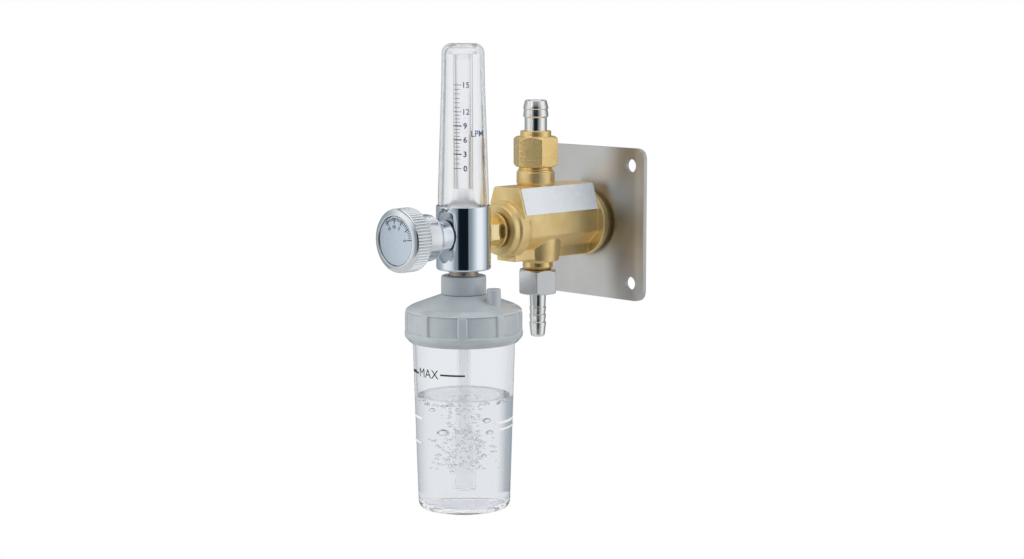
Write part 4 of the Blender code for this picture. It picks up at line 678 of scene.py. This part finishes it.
def adaptor():
    """Short collar against the casting and the hexagon in front of it."""
    nut = hexagon_nut(16.1, 84.6, 94.6, WALL_CENTRE, "OUT", bore=3.2)
    piece("adaptor_hexagon", "base", nut, BRIGHT_BRASS, stands_for=("hex_adaptor",), bevel=0.25)
    collar = [(3.2, 83.2), (10.6, 83.2, .3), (10.6, 85.1, .5), (3.2, 85.1)]
    piece("adaptor_collar", "base", hollow(collar, WALL_CENTRE, "OUT"), NUT_BRASS)


# Chrome flowmeter
BARREL_RADIUS, BARREL_LOW, BARREL_TOP = 16.15, -21.0, 17.0
MILLED_REACH = 15.2


def barrel():
    """Upright turned barrel with an oval flat, (7.6 cos t, 16.2 sin t), in front and a round one behind."""
    profile = outline([(0, BARREL_LOW), (14.2, BARREL_LOW), (BARREL_RADIUS, BARREL_LOW, 1.6),
                       (BARREL_RADIUS, BARREL_TOP, .7), (15.45, BARREL_TOP, .15), (15.45, 13.4), (0, 13.4)], arc=7)
    shape = turned(filled(profile, 1.2), steps=256)
    thing = piece("chrome_barrel", "base", shape, CHROME, stands_for=("flowmeter_body",))
    t = angles(96)[0]
    oval = np.stack([7.6 * np.cos(t), 16.2 * np.sin(t)], axis=1)
    front = prism(oval, AXIS_OUT + 14.5, AXIS_OUT + 30)
    rear = outline([(0, -30), (10.2, -30), (10.2, -14.9), (0, -14.9)]) + FLOW_AXIS
    cut_with(thing, joined(front, turned(rear, WALL_CENTRE, "OUT")), 0.25)
    thing.data.materials.append(MILLED_FACE)
    normals, centres = per_face(thing, "normal"), per_face(thing, "center") / MM
    finish_faces(thing, (np.abs(normals[:, 1]) > 0.999) & (np.abs(centres[:, 1] + AXIS_OUT) < MILLED_REACH))


def bonnet():
    """Turned bonnet between the barrel and the knob."""
    profile = [(2.6, 126.1), (9.4, 126.1, .4), (9.4, 140.1, .5), (2.6, 140.1)]
    piece("bonnet_sleeve", "base", hollow(profile, WALL_CENTRE, "OUT"), CHROME, stands_for=("valve_bonnet",))


TEETH, TOOTH_DEPTH = 60, 1.15


def knob():
    """Turned knob; in the knurled band the radius drops by the depth times ((1 - cos 60 t) / 2) ^ 1.3."""
    corners = [(3.0, 138.0), (9.9, 138.0), (9.9, 137.4), (13.3, 137.4, .5), (13.7, 139, 1), (13.7, 150.6, .3),
               (15.4, 151.2, .4), (18.0, 151.4, .5), (18.6, 152.0, .4), (18.6, 153.0), (18.6, 157.0), (18.6, 161.0),
               (18.6, 161.3), (18.55, 161.7), (18.3, 162.4, .5), (16.6, 163.5, 1), (14.8, 164.15, .4),
               (14.4, 164.0, .2), (14.2, 162.4), (3.0, 162.4)]

    def knurl(r, s, t):
        groove = ((1 - np.cos(TEETH * t)) / 2) ** 1.3
        band = np.clip((s - 151.3) / 0.5, 0, 1) * np.clip((161.8 - s) / 0.3, 0, 1) * (r > 17.6)
        return r - TOOTH_DEPTH * groove * band, s

    shape = hollow(corners, WALL_CENTRE, "OUT", TEETH * 12, arc=4, relief=knurl)
    piece("knurled_knob", "knob", shape, KNOB_CHROME, stands_for=("control_knob",), sharp=50)


DIAL_RADIUS, DIAL_BACK, DIAL_FRONT, DIAL_DROP = 14.0, 162.6, 164.1, 0.8
TICK_END, NUMBER_RADIUS = 13.3, 8.1


def dial_height(r):
    """The dial's face falls from its middle by the drop times (r / radius) ^ 2."""
    return DIAL_FRONT - DIAL_DROP * (r / DIAL_RADIUS) ** 2


def tick_turn(step):
    """Angle of a tick on the dial."""
    return radians(130 - step * 5.9)


def dial():
    """Slightly domed disc in the knob's front, with fine ticks along its upper edge and small numbers."""
    away = np.linspace(0, DIAL_RADIUS, 24)
    dome = np.stack([away, dial_height(away)], axis=1)[::-1]
    face = np.concatenate([[(0, DIAL_BACK), (DIAL_RADIUS, DIAL_BACK)], dome])
    piece("dial_face", "knob", turned(face, WALL_CENTRE, "OUT", 96), DIAL_METAL, stands_for=("dial_disc",))
    marks = []
    for step in range(22):
        turn = tick_turn(step)
        inner, wide = (9.9, 0.26) if step % 5 == 1 else (11.5, 0.19)
        across, out = np.array([-sin(turn), cos(turn)]), np.array([cos(turn), sin(turn)])
        ends = ((inner, -wide), (TICK_END, -wide), (TICK_END, wide), (inner, wide))
        corners = [out * r + across * side for r, side in ends]
        marks.append(prism(corners, dial_height(TICK_END) - 0.1, dial_height(inner) + 0.05))
    for step, words in ((1, "15"), (6, "10"), (11, "5"), (21, "0")):
        turn = tick_turn(step)
        points, faces = lettering(words, 2.0, depth=0.2, weight=0.1)
        points[:, :2] -= points[:, :2].max(axis=0) / 2
        tilt = turn - pi / 2
        x = points[:, 0] * cos(tilt) - points[:, 1] * sin(tilt) + NUMBER_RADIUS * cos(turn)
        z = points[:, 0] * sin(tilt) + points[:, 1] * cos(tilt) + NUMBER_RADIUS * sin(turn)
        marks.append((placed(x, z, dial_height(NUMBER_RADIUS) - 0.1 + points[:, 2], WALL_CENTRE, "OUT"), faces))
    piece("dial_marks", "knob", joined(*marks), INK_DARK)


# Flow tube
def cover_radius(z):
    """Outer radius of the cover: straight foot, then an even taper to the top."""
    return np.interp(z, [19.8, 90.0, 111.7], [15.1, 12.7, 12.5])


def scale_radius(z):
    """The flow scale lies just outside the metering tube's wall."""
    return 5.83 + 0 * z


def flow_tube():
    """Outer cover and inner metering tube as closed loops, its stop and its frosted foot."""
    outer = [(12.1, 13.8), (15.0, 13.8, .4), (15.1, 19.8, 2), (12.7, 90.0, 4), (12.4, 111.3, 6.0), (5.0, 111.7, 4),
             (0, 111.7)]
    inner = [(0, 110.3), (5.0, 110.2, 3), (10.0, 108.9, 4.5), (10.2, 90), (11.9, 19.8)]
    profile = filled(outline(outer + inner, arc=10), 6.0)
    profile = np.concatenate([profile, profile[:1]])
    piece("outer_tube", "base", turned(profile, steps=160), CLEAR_COVER, stands_for=("tube_cover",))
    bore = hollow([(3.5, 27.0), (5.8, 27.0), (5.8, 105.4, .4), (4.3, 105.4)], steps=96)
    piece("inner_tube", "base", bore, CLEAR_TUBE, stands_for=("metering_tube",))
    foot = [(3.5, 15.3), (9.7, 15.3, .3), (9.7, 17.0, 1.0), (6.6, 19.6, 1.5), (5.8, 23.0, 1.5), (5.8, 26.9),
            (3.5, 26.9, .2)]
    piece("tube_foot", "base", hollow(foot, steps=96), FROSTED)
    stop = [(0, 102.4), (3.9, 102.4), (3.9, 105.6), (8.2, 105.6, .4), (8.2, 107.2, .4), (0, 107.2)]
    piece("tube_plug", "base", spun(stop, steps=64), CLEAR_TUBE, stands_for=("tube_stop",))


# Number, its height, and how many fine ticks lie between it and the next one below
SCALE = (("15", 87.6, 5), ("12", 72.0, 3), ("9", 63.8, 3), ("6", 55.7, 3), ("3", 47.3, 2), ("0", 38.9, 0))


def flow_scale():
    """Ticks wrapped on the metering tube, with the number beside each main tick, and the unit on the cover."""
    def tick(start, end, z, half):
        return bar_on_tube(scale_radius, (start, end), (z - half, z + half))

    dark, violet = [], []
    for index, (words, z, between) in enumerate(SCALE):
        bold = words in ("9", "6", "3")
        ticks, numbers = violet if bold else dark, dark if words in ("15", "12") else violet
        ticks.append(tick(-75, -8, z, 0.35 if bold else 0.18))
        number = lettering(words, 3.4, weight=0.22 if numbers is violet else 0.1)
        numbers.append(on_tube(number, scale_radius, 2, z - 1.7))
        for k in range(1, between + 1):
            gap = SCALE[index + 1][1] - z
            dark.append(tick(-62, -18, z + gap * k / (between + 1), 0.15))
    piece("scale_marks", "base", joined(*dark), INK_DARK)
    piece("scale_numbers", "base", joined(*violet), INK_VIOLET)
    unit = on_tube(lettering("LPM", 3.6, 8.6, weight=0.05), cover_radius, 21, 57.9)
    piece("unit_mark", "base", unit, INK_BLUE)


def float_ball():
    """Steel ball: r = sin p, height = cos p."""
    low, high = span("float_ball")
    radius, middle = (high[2] - low[2]) / 2, (high[2] + low[2]) / 2
    p = np.linspace(0, pi, 25)[:, None]
    profile = np.concatenate([radius * np.sin(p), middle - radius * np.cos(p)], axis=1)
    piece("steel_ball", "float", turned(profile, steps=48), CHROME, stands_for=("float_ball",))


# Humidifier
def swivel_parts():
    """Threaded stub, whose radius follows a helix, and the smooth swivel nut round it."""
    rows = np.linspace(-30.5, -21.3, 75)[:, None]
    wall = np.concatenate([8.9 + 0 * rows, rows], axis=1)
    profile = np.concatenate([[(3.0, -30.5)], wall, [(3.0, -21.3)]])

    def thread(r, s, t):
        return r - 0.45 * (r > 5) * (0.5 + 0.5 * np.cos(TAU * s / 1.25 + t)), s

    shape = turned(profile, steps=96, loop=True, relief=thread)
    piece("stub_thread", "base", shape, STUB_METAL, stands_for=("outlet_stub",))
    ring = [(9.3, -24.6), (12.9, -24.6, .4), (13.35, -25.4, .4), (13.35, -35.1, .4), (12.9, -35.55, .3), (9.3, -35.55)]
    piece("swivel_ring", "nut", hollow(ring), NUT_PLASTIC, stands_for=("swivel_nut",))


RIBS, RIB_WIDTH, PANEL_DEPTH = 9, 4.6, 1.15
SPIGOT_AXIS = (22.53, 107.03)


def eased(share):
    """A share from 0 to 1 with soft ends: 3 k^2 - 2 k^3."""
    return share * share * (3 - 2 * share)


def cap():
    """Moulded cap; between the ribs the skirt's radius drops by the panel depth, with soft edges all round."""
    outer = [(9.3, -35.6), (13.2, -35.6, .6), (14.4, -36.2, .6), (30.9, -42.4, .9), (34.3, -44.4, 1.2),
             (34.95, -46.4, .8), (34.95, -57.6), (35.1, -58.2, .4), (35.1, -60.4, 1.2), (32.2, -63.8, .8),
             (31.0, -63.8)]
    inner = [(30.9, -63.4, .2), (30.9, -48.0, .5), (29.0, -45.0, 1), (12.0, -38.6, 1), (9.3, -38.6)]
    edge = outline(outer + inner, closed=True)
    lowest = int(np.argmin(edge[:, 1])) + 1
    profile = np.concatenate([filled(edge[:lowest], 0.6), filled(edge[lowest:], 4.0)])

    def panels(r, s, t):
        turn = (t - VIEW_TURN) * RIBS / TAU
        away = np.abs(turn - np.round(turn)) * TAU / RIBS * 34
        across = np.clip((away - RIB_WIDTH / 2) / 0.5, 0, 1)
        along = np.clip((-45.0 - s) / 0.7, 0, 1) * np.clip((s + 57.8) / 0.7, 0, 1)
        return r - PANEL_DEPTH * eased(across) * eased(along) * (r > 31.5), s

    shape = turned(profile, steps=540, loop=True, relief=panels)
    piece("cap_shell", "humidifier", shape, CAP_PLASTIC, stands_for=("humidifier_cap",), sharp=60)
    peg = [(2.1, -43.5), (5.2, -43.5), (4.3, -40.0, .8), (4.15, -30.8, .7), (2.1, -30.8, .3)]
    piece("cap_spigot", "humidifier", hollow(peg, SPIGOT_AXIS, steps=64), CAP_PLASTIC)


JAR_TOP, JAR_FOOT, JAR_FLOOR, WATER_LEVEL = -48.5, -164.0, -161.0, -96.0
# Start and end from the viewer's side in degrees, height and half the thickness
MOULDED_BARS = ((-88, -56, -107.6, .6), (-88, -60, -122.6, .5), (40, 82, -109.4, .8), (46, 88, -113.6, .6))


def jar_radius(z):
    """Outer radius of the jar: straight neck, then an even taper to the foot."""
    return np.interp(z, [-164.0, -66.5], [27.3, 30.3])


def jar():
    """Clear jar, its outline from axis to axis; the inner wall below the water level is the wet wall."""
    outer = [(0, -163.6), (20, -163.6), (22.5, JAR_FOOT, 1), (27.3, JAR_FOOT, 4.2), (30.3, -66.5, 3),
             (30.3, JAR_TOP, .4)]
    inner = [(28.5, JAR_TOP, .4), (28.5, -66.5, 3), (27.6, WATER_LEVEL), (25.5, JAR_FLOOR, 4.0), (0, JAR_FLOOR)]
    shape = turned(filled(outline(outer + inner, arc=8), 4.0), steps=192)
    thing = piece("jar_wall", "jar", shape, CLEAR_JAR, WET_WALL, JAR_BASE, stands_for=("bottle",))
    centres, normals = per_face(thing, "center") / MM, per_face(thing, "normal")
    height = centres[:, 2]
    inward = ((centres[:, :2] + FLOW_AXIS) * normals[:, :2]).sum(axis=1) < -0.01
    inner_floor = (normals[:, 2] > 0.5) & (np.abs(height - JAR_FLOOR) < 0.6)
    wet = inward & (height < WATER_LEVEL) | inner_floor
    finish_faces(thing, np.where(~wet & (height < JAR_FLOOR + 3), 2, wet))
    bars = [bar_on_tube(jar_radius, (start, end), (z - half, z + half), 0.45)
            for start, end, z, half in MOULDED_BARS]
    piece("moulded_lines", "jar", joined(*bars), MOULDED_WHITE, bevel=0.2)


WATER_RADIUS, WATER_CLIMB, WATER_RING = 27.56, 0.4, 21.8


def water():
    """Rippled top z = level + waves that die at the wall, where it climbs; side and floor follow the jar inside."""
    wall = [(0, JAR_FLOOR + .02), (25.48, JAR_FLOOR + .02, 4.0), (WATER_RADIUS, WATER_LEVEL)]
    side = filled(outline(wall, arc=8), 6.0)
    t = angles(128)
    share = np.linspace(1, 0, 40)[:, None]
    r_top = WATER_RADIUS * share + 0 * t
    x, y = r_top * np.cos(t), r_top * np.sin(t)
    waves = (0.3 * np.sin(0.42 * x + 0.9) * np.cos(0.36 * y) + 0.28 * np.sin(0.25 * (x - y))
             + 0.1 * np.cos(0.7 * x + 0.5 * y))
    climb = WATER_CLIMB * np.exp(-(WATER_RADIUS - r_top) / 0.9)
    z_top = WATER_LEVEL + waves * (1 - share ** 6) + climb - WATER_CLIMB * (share == 1)
    r = np.concatenate([side[:, :1] + 0 * t, r_top[1:]])
    z = np.concatenate([side[:, 1:2] + 0 * t, z_top[1:]])
    shape = grid(polar(r, t, z), wrap_columns=True)
    thing = piece("water", "jar", shape, WATER, WATER_SIDE, WATER_EDGE, sharp=180)
    centres = per_face(thing, "center") / MM
    side_face = centres[:, 2] < WATER_LEVEL - 1.2
    # The outer ring of the top gets the milky edge: froth, and a painted highlight along the meniscus.
    ring = ~side_face & (np.hypot(centres[:, 0], centres[:, 1] + AXIS_OUT) > WATER_RING)
    finish_faces(thing, side_face + 2 * ring)


def balls(middles, radii, squash, rings=9, steps=14):
    """Many small balls as one shell list: each is the unit ball times its radius, put at its middle."""
    p, t = np.linspace(0, pi, rings)[:, None], angles(steps)
    unit = np.stack([np.sin(p) * np.cos(t), np.sin(p) * np.sin(t), np.cos(p) * squash + 0 * t], axis=-1)
    return joined(*[grid(unit * radius + middle, wrap_columns=True) for middle, radius in zip(middles, radii)])


# Sideways and towards the viewer from the jar's axis, height and radius
LARGE_BUBBLES = ((-10.8, 9, -117.0, 3.6), (12.2, 10, -109.5, 2.5), (13.6, 8, -117.0, 2.3), (-5.0, 13, -136.0, 1.8),
                 (10.8, 12, -130.5, 1.9), (-12.8, 6, -131.0, 1.5), (-16.5, 8, -103.5, 1.9))


def bubbles():
    """A column round the pipe, spray round the bubbler, froth along the wall and a few large ones, all flattened."""
    rng = np.random.default_rng(7)
    counts = column, spray, froth = 150, 90, 44
    turn = np.concatenate([rng.uniform(0, TAU, column + spray),
                           VIEW_TURN + rng.choice([-1, 1], froth) * rng.uniform(0.2, 1.35, froth)])
    away = np.concatenate([6.8 + rng.gamma(1.7, 1.0, column), rng.uniform(7.0, 18.0, spray),
                           rng.uniform(21.5, 24.6, froth)])
    low = np.repeat([-139.0, -141.0, WATER_LEVEL - 3.6], counts)
    high = np.repeat([WATER_LEVEL - 2.4, -122.0, WATER_LEVEL - 1.6], counts)
    radius = np.concatenate([rng.uniform(0.5, most, count) for most, count in zip((1.15, 1.3, 1.2), counts)])
    height = low + (high - low) * rng.uniform(0, 1, low.size)
    middles = np.stack([away * np.cos(turn), away * np.sin(turn) - AXIS_OUT, height], axis=1)
    aside = np.array([cos(VIEW_TURN + pi / 2), sin(VIEW_TURN + pi / 2)])
    facing = np.array([cos(VIEW_TURN), sin(VIEW_TURN)])
    spots = np.array([[*(aside * a + facing * f + (0, -AXIS_OUT)), z] for a, f, z, _ in LARGE_BUBBLES])
    sizes = np.concatenate([radius, [size for *_, size in LARGE_BUBBLES]])
    piece("bubbles", "jar", balls(np.concatenate([middles, spots]), sizes, 0.72), BUBBLE, sharp=180)


def dip_parts():
    """Straight dip tube, and the bubbler at its end with shallow grooves, (1 + cos) / 2 to the fourth along it."""
    tube = outline([(2.6, -44.3), (4.0, -44.3, .2), (4.0, -118.6, .3), (2.6, -118.6)], closed=True)
    pipe = turned(filled(tube, 8.0), steps=64, loop=True)
    piece("dip_pipe", "humidifier", pipe, MILKY, stands_for=("dip_tube",))
    shell = [(4.2, -117.0), (5.0, -117.0, .4), (5.6, -119.0, .5), (5.6, -152.4, .4), (5.0, -153.0, .3), (0, -153.0)]
    core = [(0, -151.0), (4.2, -151.0, .5)]
    profile = filled(outline(shell + core), 0.8)
    profile = np.concatenate([profile, profile[:1]])

    def grooves(r, s, t):
        return r - 0.2 * (0.5 + 0.5 * np.cos(TAU * s / 3.2)) ** 4 * (r > 5.5), s

    sleeve = turned(profile, steps=64, relief=grooves)
    piece("bubbler", "humidifier", sleeve, MILKY, stands_for=("diffuser",))


def jar_marks():
    """Fill mark: the word and its line, bent round the jar."""
    level = -79.8
    word = on_tube(lettering("MAX", 5.2, 15.6, weight=-0.01), jar_radius, -58.5, level - 2.6)
    line = bar_on_tube(jar_radius, (-26.2, 2.5), (level - .5, level + .5))
    short = bar_on_tube(jar_radius, (-86, -61), (level - 1.4, level - .4))
    piece("fill_mark", "jar", joined(word, line, short), INK_BLACK)


def carried_over():
    """Solids that stay as they are get their finish."""
    for finish, names in (
        (TAIL_STEEL, SCREWS + ["valve_spindle", "knob_screw"]),
        (GASKET, ["inlet_washer", "outlet_washer", "bottle_gasket"]),
        # The black of the adaptor and bonnet seals also stands for the shadow gaps round them: partly painted shade.
        (RUBBER, ["adaptor_seal", "bonnet_seal", "tube_seal", "nipple_seal", "spindle_oring"]),
    ):
        for name in names:
            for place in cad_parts[name].material_slots:
                place.material = finish


# Room, light and camera
# Turn from the viewer's side in degrees, and the studio's brightness there: in gloss, through glass, by matt faces
GLOSS_TURNS = [(-180, .26), (-129, .4), (-106, .5), (-96, .68), (-84, .88), (-58, .8), (-47, .62), (-36, .34),
               (-24, .28), (-20, .04), (-14, .013), (16, .013), (21, .02), (23, .26), (36, .36), (50, .62), (64, .9),
               (84, .92), (102, .64), (125, .22), (180, .24)]
GLASS_TURNS = [(-180, .92), (-160, .9), (-150, .58), (-132, .44), (-108, .48), (-85, .68), (-60, .82), (0, .86),
               (60, .82), (85, .72), (108, .58), (130, .68), (150, .8), (160, .9), (180, .92)]
MATT_TURNS = [(-180, .9), (-140, 1.3), (-110, 1.8), (-80, 1.8), (-45, .9), (-20, .36), (0, .28), (20, .4), (45, .9),
              (80, 1.75), (105, 1.65), (140, .7), (180, .7)]
RED_POWER, GREEN_POWER = 1.22, 1.09


def ramp_of(tree, position, table):
    """A ramp over the turn from -180 to 180 degrees, as a grey that cools as it darkens."""
    grey = node(tree, "ValToRGB", {0: position})[0]
    points = grey.node.color_ramp.elements
    while len(points) < len(table):
        points.new(0.5)
    for point, (turn, _) in zip(points, table):
        point.position = (turn + 180) / 360
    for point, (_, level) in zip(points, table):
        point.color = (level ** RED_POWER, level ** GREEN_POWER, level, 1)
    return grey


def room():
    """White to the camera; soft panels over the turn round the object to gloss, to glass and to matt surfaces."""
    world = bpy.data.worlds.new("studio")
    bpy.context.scene.world = world
    world.use_nodes = True
    tree = world.node_tree
    tree.nodes.clear()
    parts = node(tree, "SeparateXYZ", {0: node(tree, "TexCoord")["Generated"]})
    beside = maths(tree, "ADD", parts[0], parts[1])
    front = maths(tree, "SUBTRACT", parts[0], parts[1])
    position = stretched(tree, maths(tree, "ARCTAN2", beside, front), -pi, pi)
    up, down = stretched(tree, parts[2], 0.3, 0.85), stretched(tree, parts[2], -0.3, -0.85)

    def panels(table, above, below):
        return blended(tree, down, blended(tree, up, ramp_of(tree, position, table), above), below)

    studio = panels(GLOSS_TURNS, (0.95, 0.97, 1.0, 1), (0.38, 0.41, 0.45, 1))
    soft = panels(MATT_TURNS, (1.0, 1.0, 1.0, 1), (0.7, 0.7, 0.7, 1))
    through = panels(GLASS_TURNS, (0.9, 0.91, 0.93, 1), (0.82, 0.83, 0.85, 1))
    gap = maths(tree, "MULTIPLY", stretched(tree, parts[2], 0.62, 0.69), stretched(tree, parts[2], 0.86, 0.78))
    studio = blended(tree, maths(tree, "MULTIPLY", gap, 0.8), studio, (0.08, 0.09, 0.11, 1))
    path = node(tree, "LightPath")
    current = blended(tree, path["Is Glossy Ray"], soft, studio)
    current = blended(tree, path["Is Transmission Ray"], current, through)
    current = blended(tree, path["Is Camera Ray"], current, (1, 1, 1, 1))
    light = node(tree, "Background", {"Color": current, "Strength": 1.0})
    out = tree.nodes.new("ShaderNodeOutputWorld")
    tree.links.new(light[0], out.inputs["Surface"])


def floor():
    """A round white floor well below the wall bracket."""
    made, tree, shader = material("floor_white", (0.5, 0.5, 0.5), 0.8)
    path = node(tree, "LightPath")
    shine = weighed(tree, path["Is Camera Ray"], 0.75, path["Is Transmission Ray"], 0.35)
    shine = maths(tree, "ADD", shine, maths(tree, "MULTIPLY", path["Is Glossy Ray"], 0.03))
    shader.inputs["Emission Color"].default_value = (1, 1, 1, 1)
    tree.links.new(shine, shader.inputs["Emission Strength"])
    points, faces = spun([(0, -760), (1300, -760), (1300, -750), (0, -750)], WALL_CENTRE, steps=96)
    mesh = bpy.data.meshes.new("floor")
    mesh.from_pydata((points * MM).tolist(), [], faces)
    mesh.materials.append(made)
    linked("floor", mesh)


def aimed(thing, place, target):
    """The object put in its place, looking at the target."""
    thing.location = place
    thing.rotation_euler = (target - place).to_track_quat("-Z", "Y").to_euler()


def key_lamp():
    """A square soft lamp, high in front of the wall."""
    light = bpy.data.lights.new("key", "AREA")
    light.size, light.energy = 0.7, 2.5
    thing = linked("key", light)
    aimed(thing, Vector((0.1, -1.25, 0.85)), Vector((0, -0.08, -0.03)))
    thing.visible_glossy = False


def camera():
    """The photograph's view, a long lens from the front right, framed for a 1024 by 559 picture whose size is not set
    here.
    """
    lens = bpy.data.cameras.new("view")
    lens.lens, lens.sensor_width = 70.86, 36.0
    lens.clip_start, lens.clip_end = 0.05, 30
    thing = linked("view", lens)
    aimed(thing, Vector((0.8556, -0.925, 0.1313)), Vector((-0.00939, -0.06, -0.0328)))
    bpy.context.scene.camera = thing


for build in (brush_plate_and_paint_shade, wall_plate, cast_body, label_plate, inlet_parts, outlet_parts, adaptor, barrel, bonnet,
              knob, dial, flow_tube, flow_scale, float_ball, swivel_parts, cap, jar, water, bubbles, dip_parts,
              jar_marks, carried_over, room, floor, camera, key_lamp):
    build()
bpy.context.scene.view_settings.view_transform = "Standard"
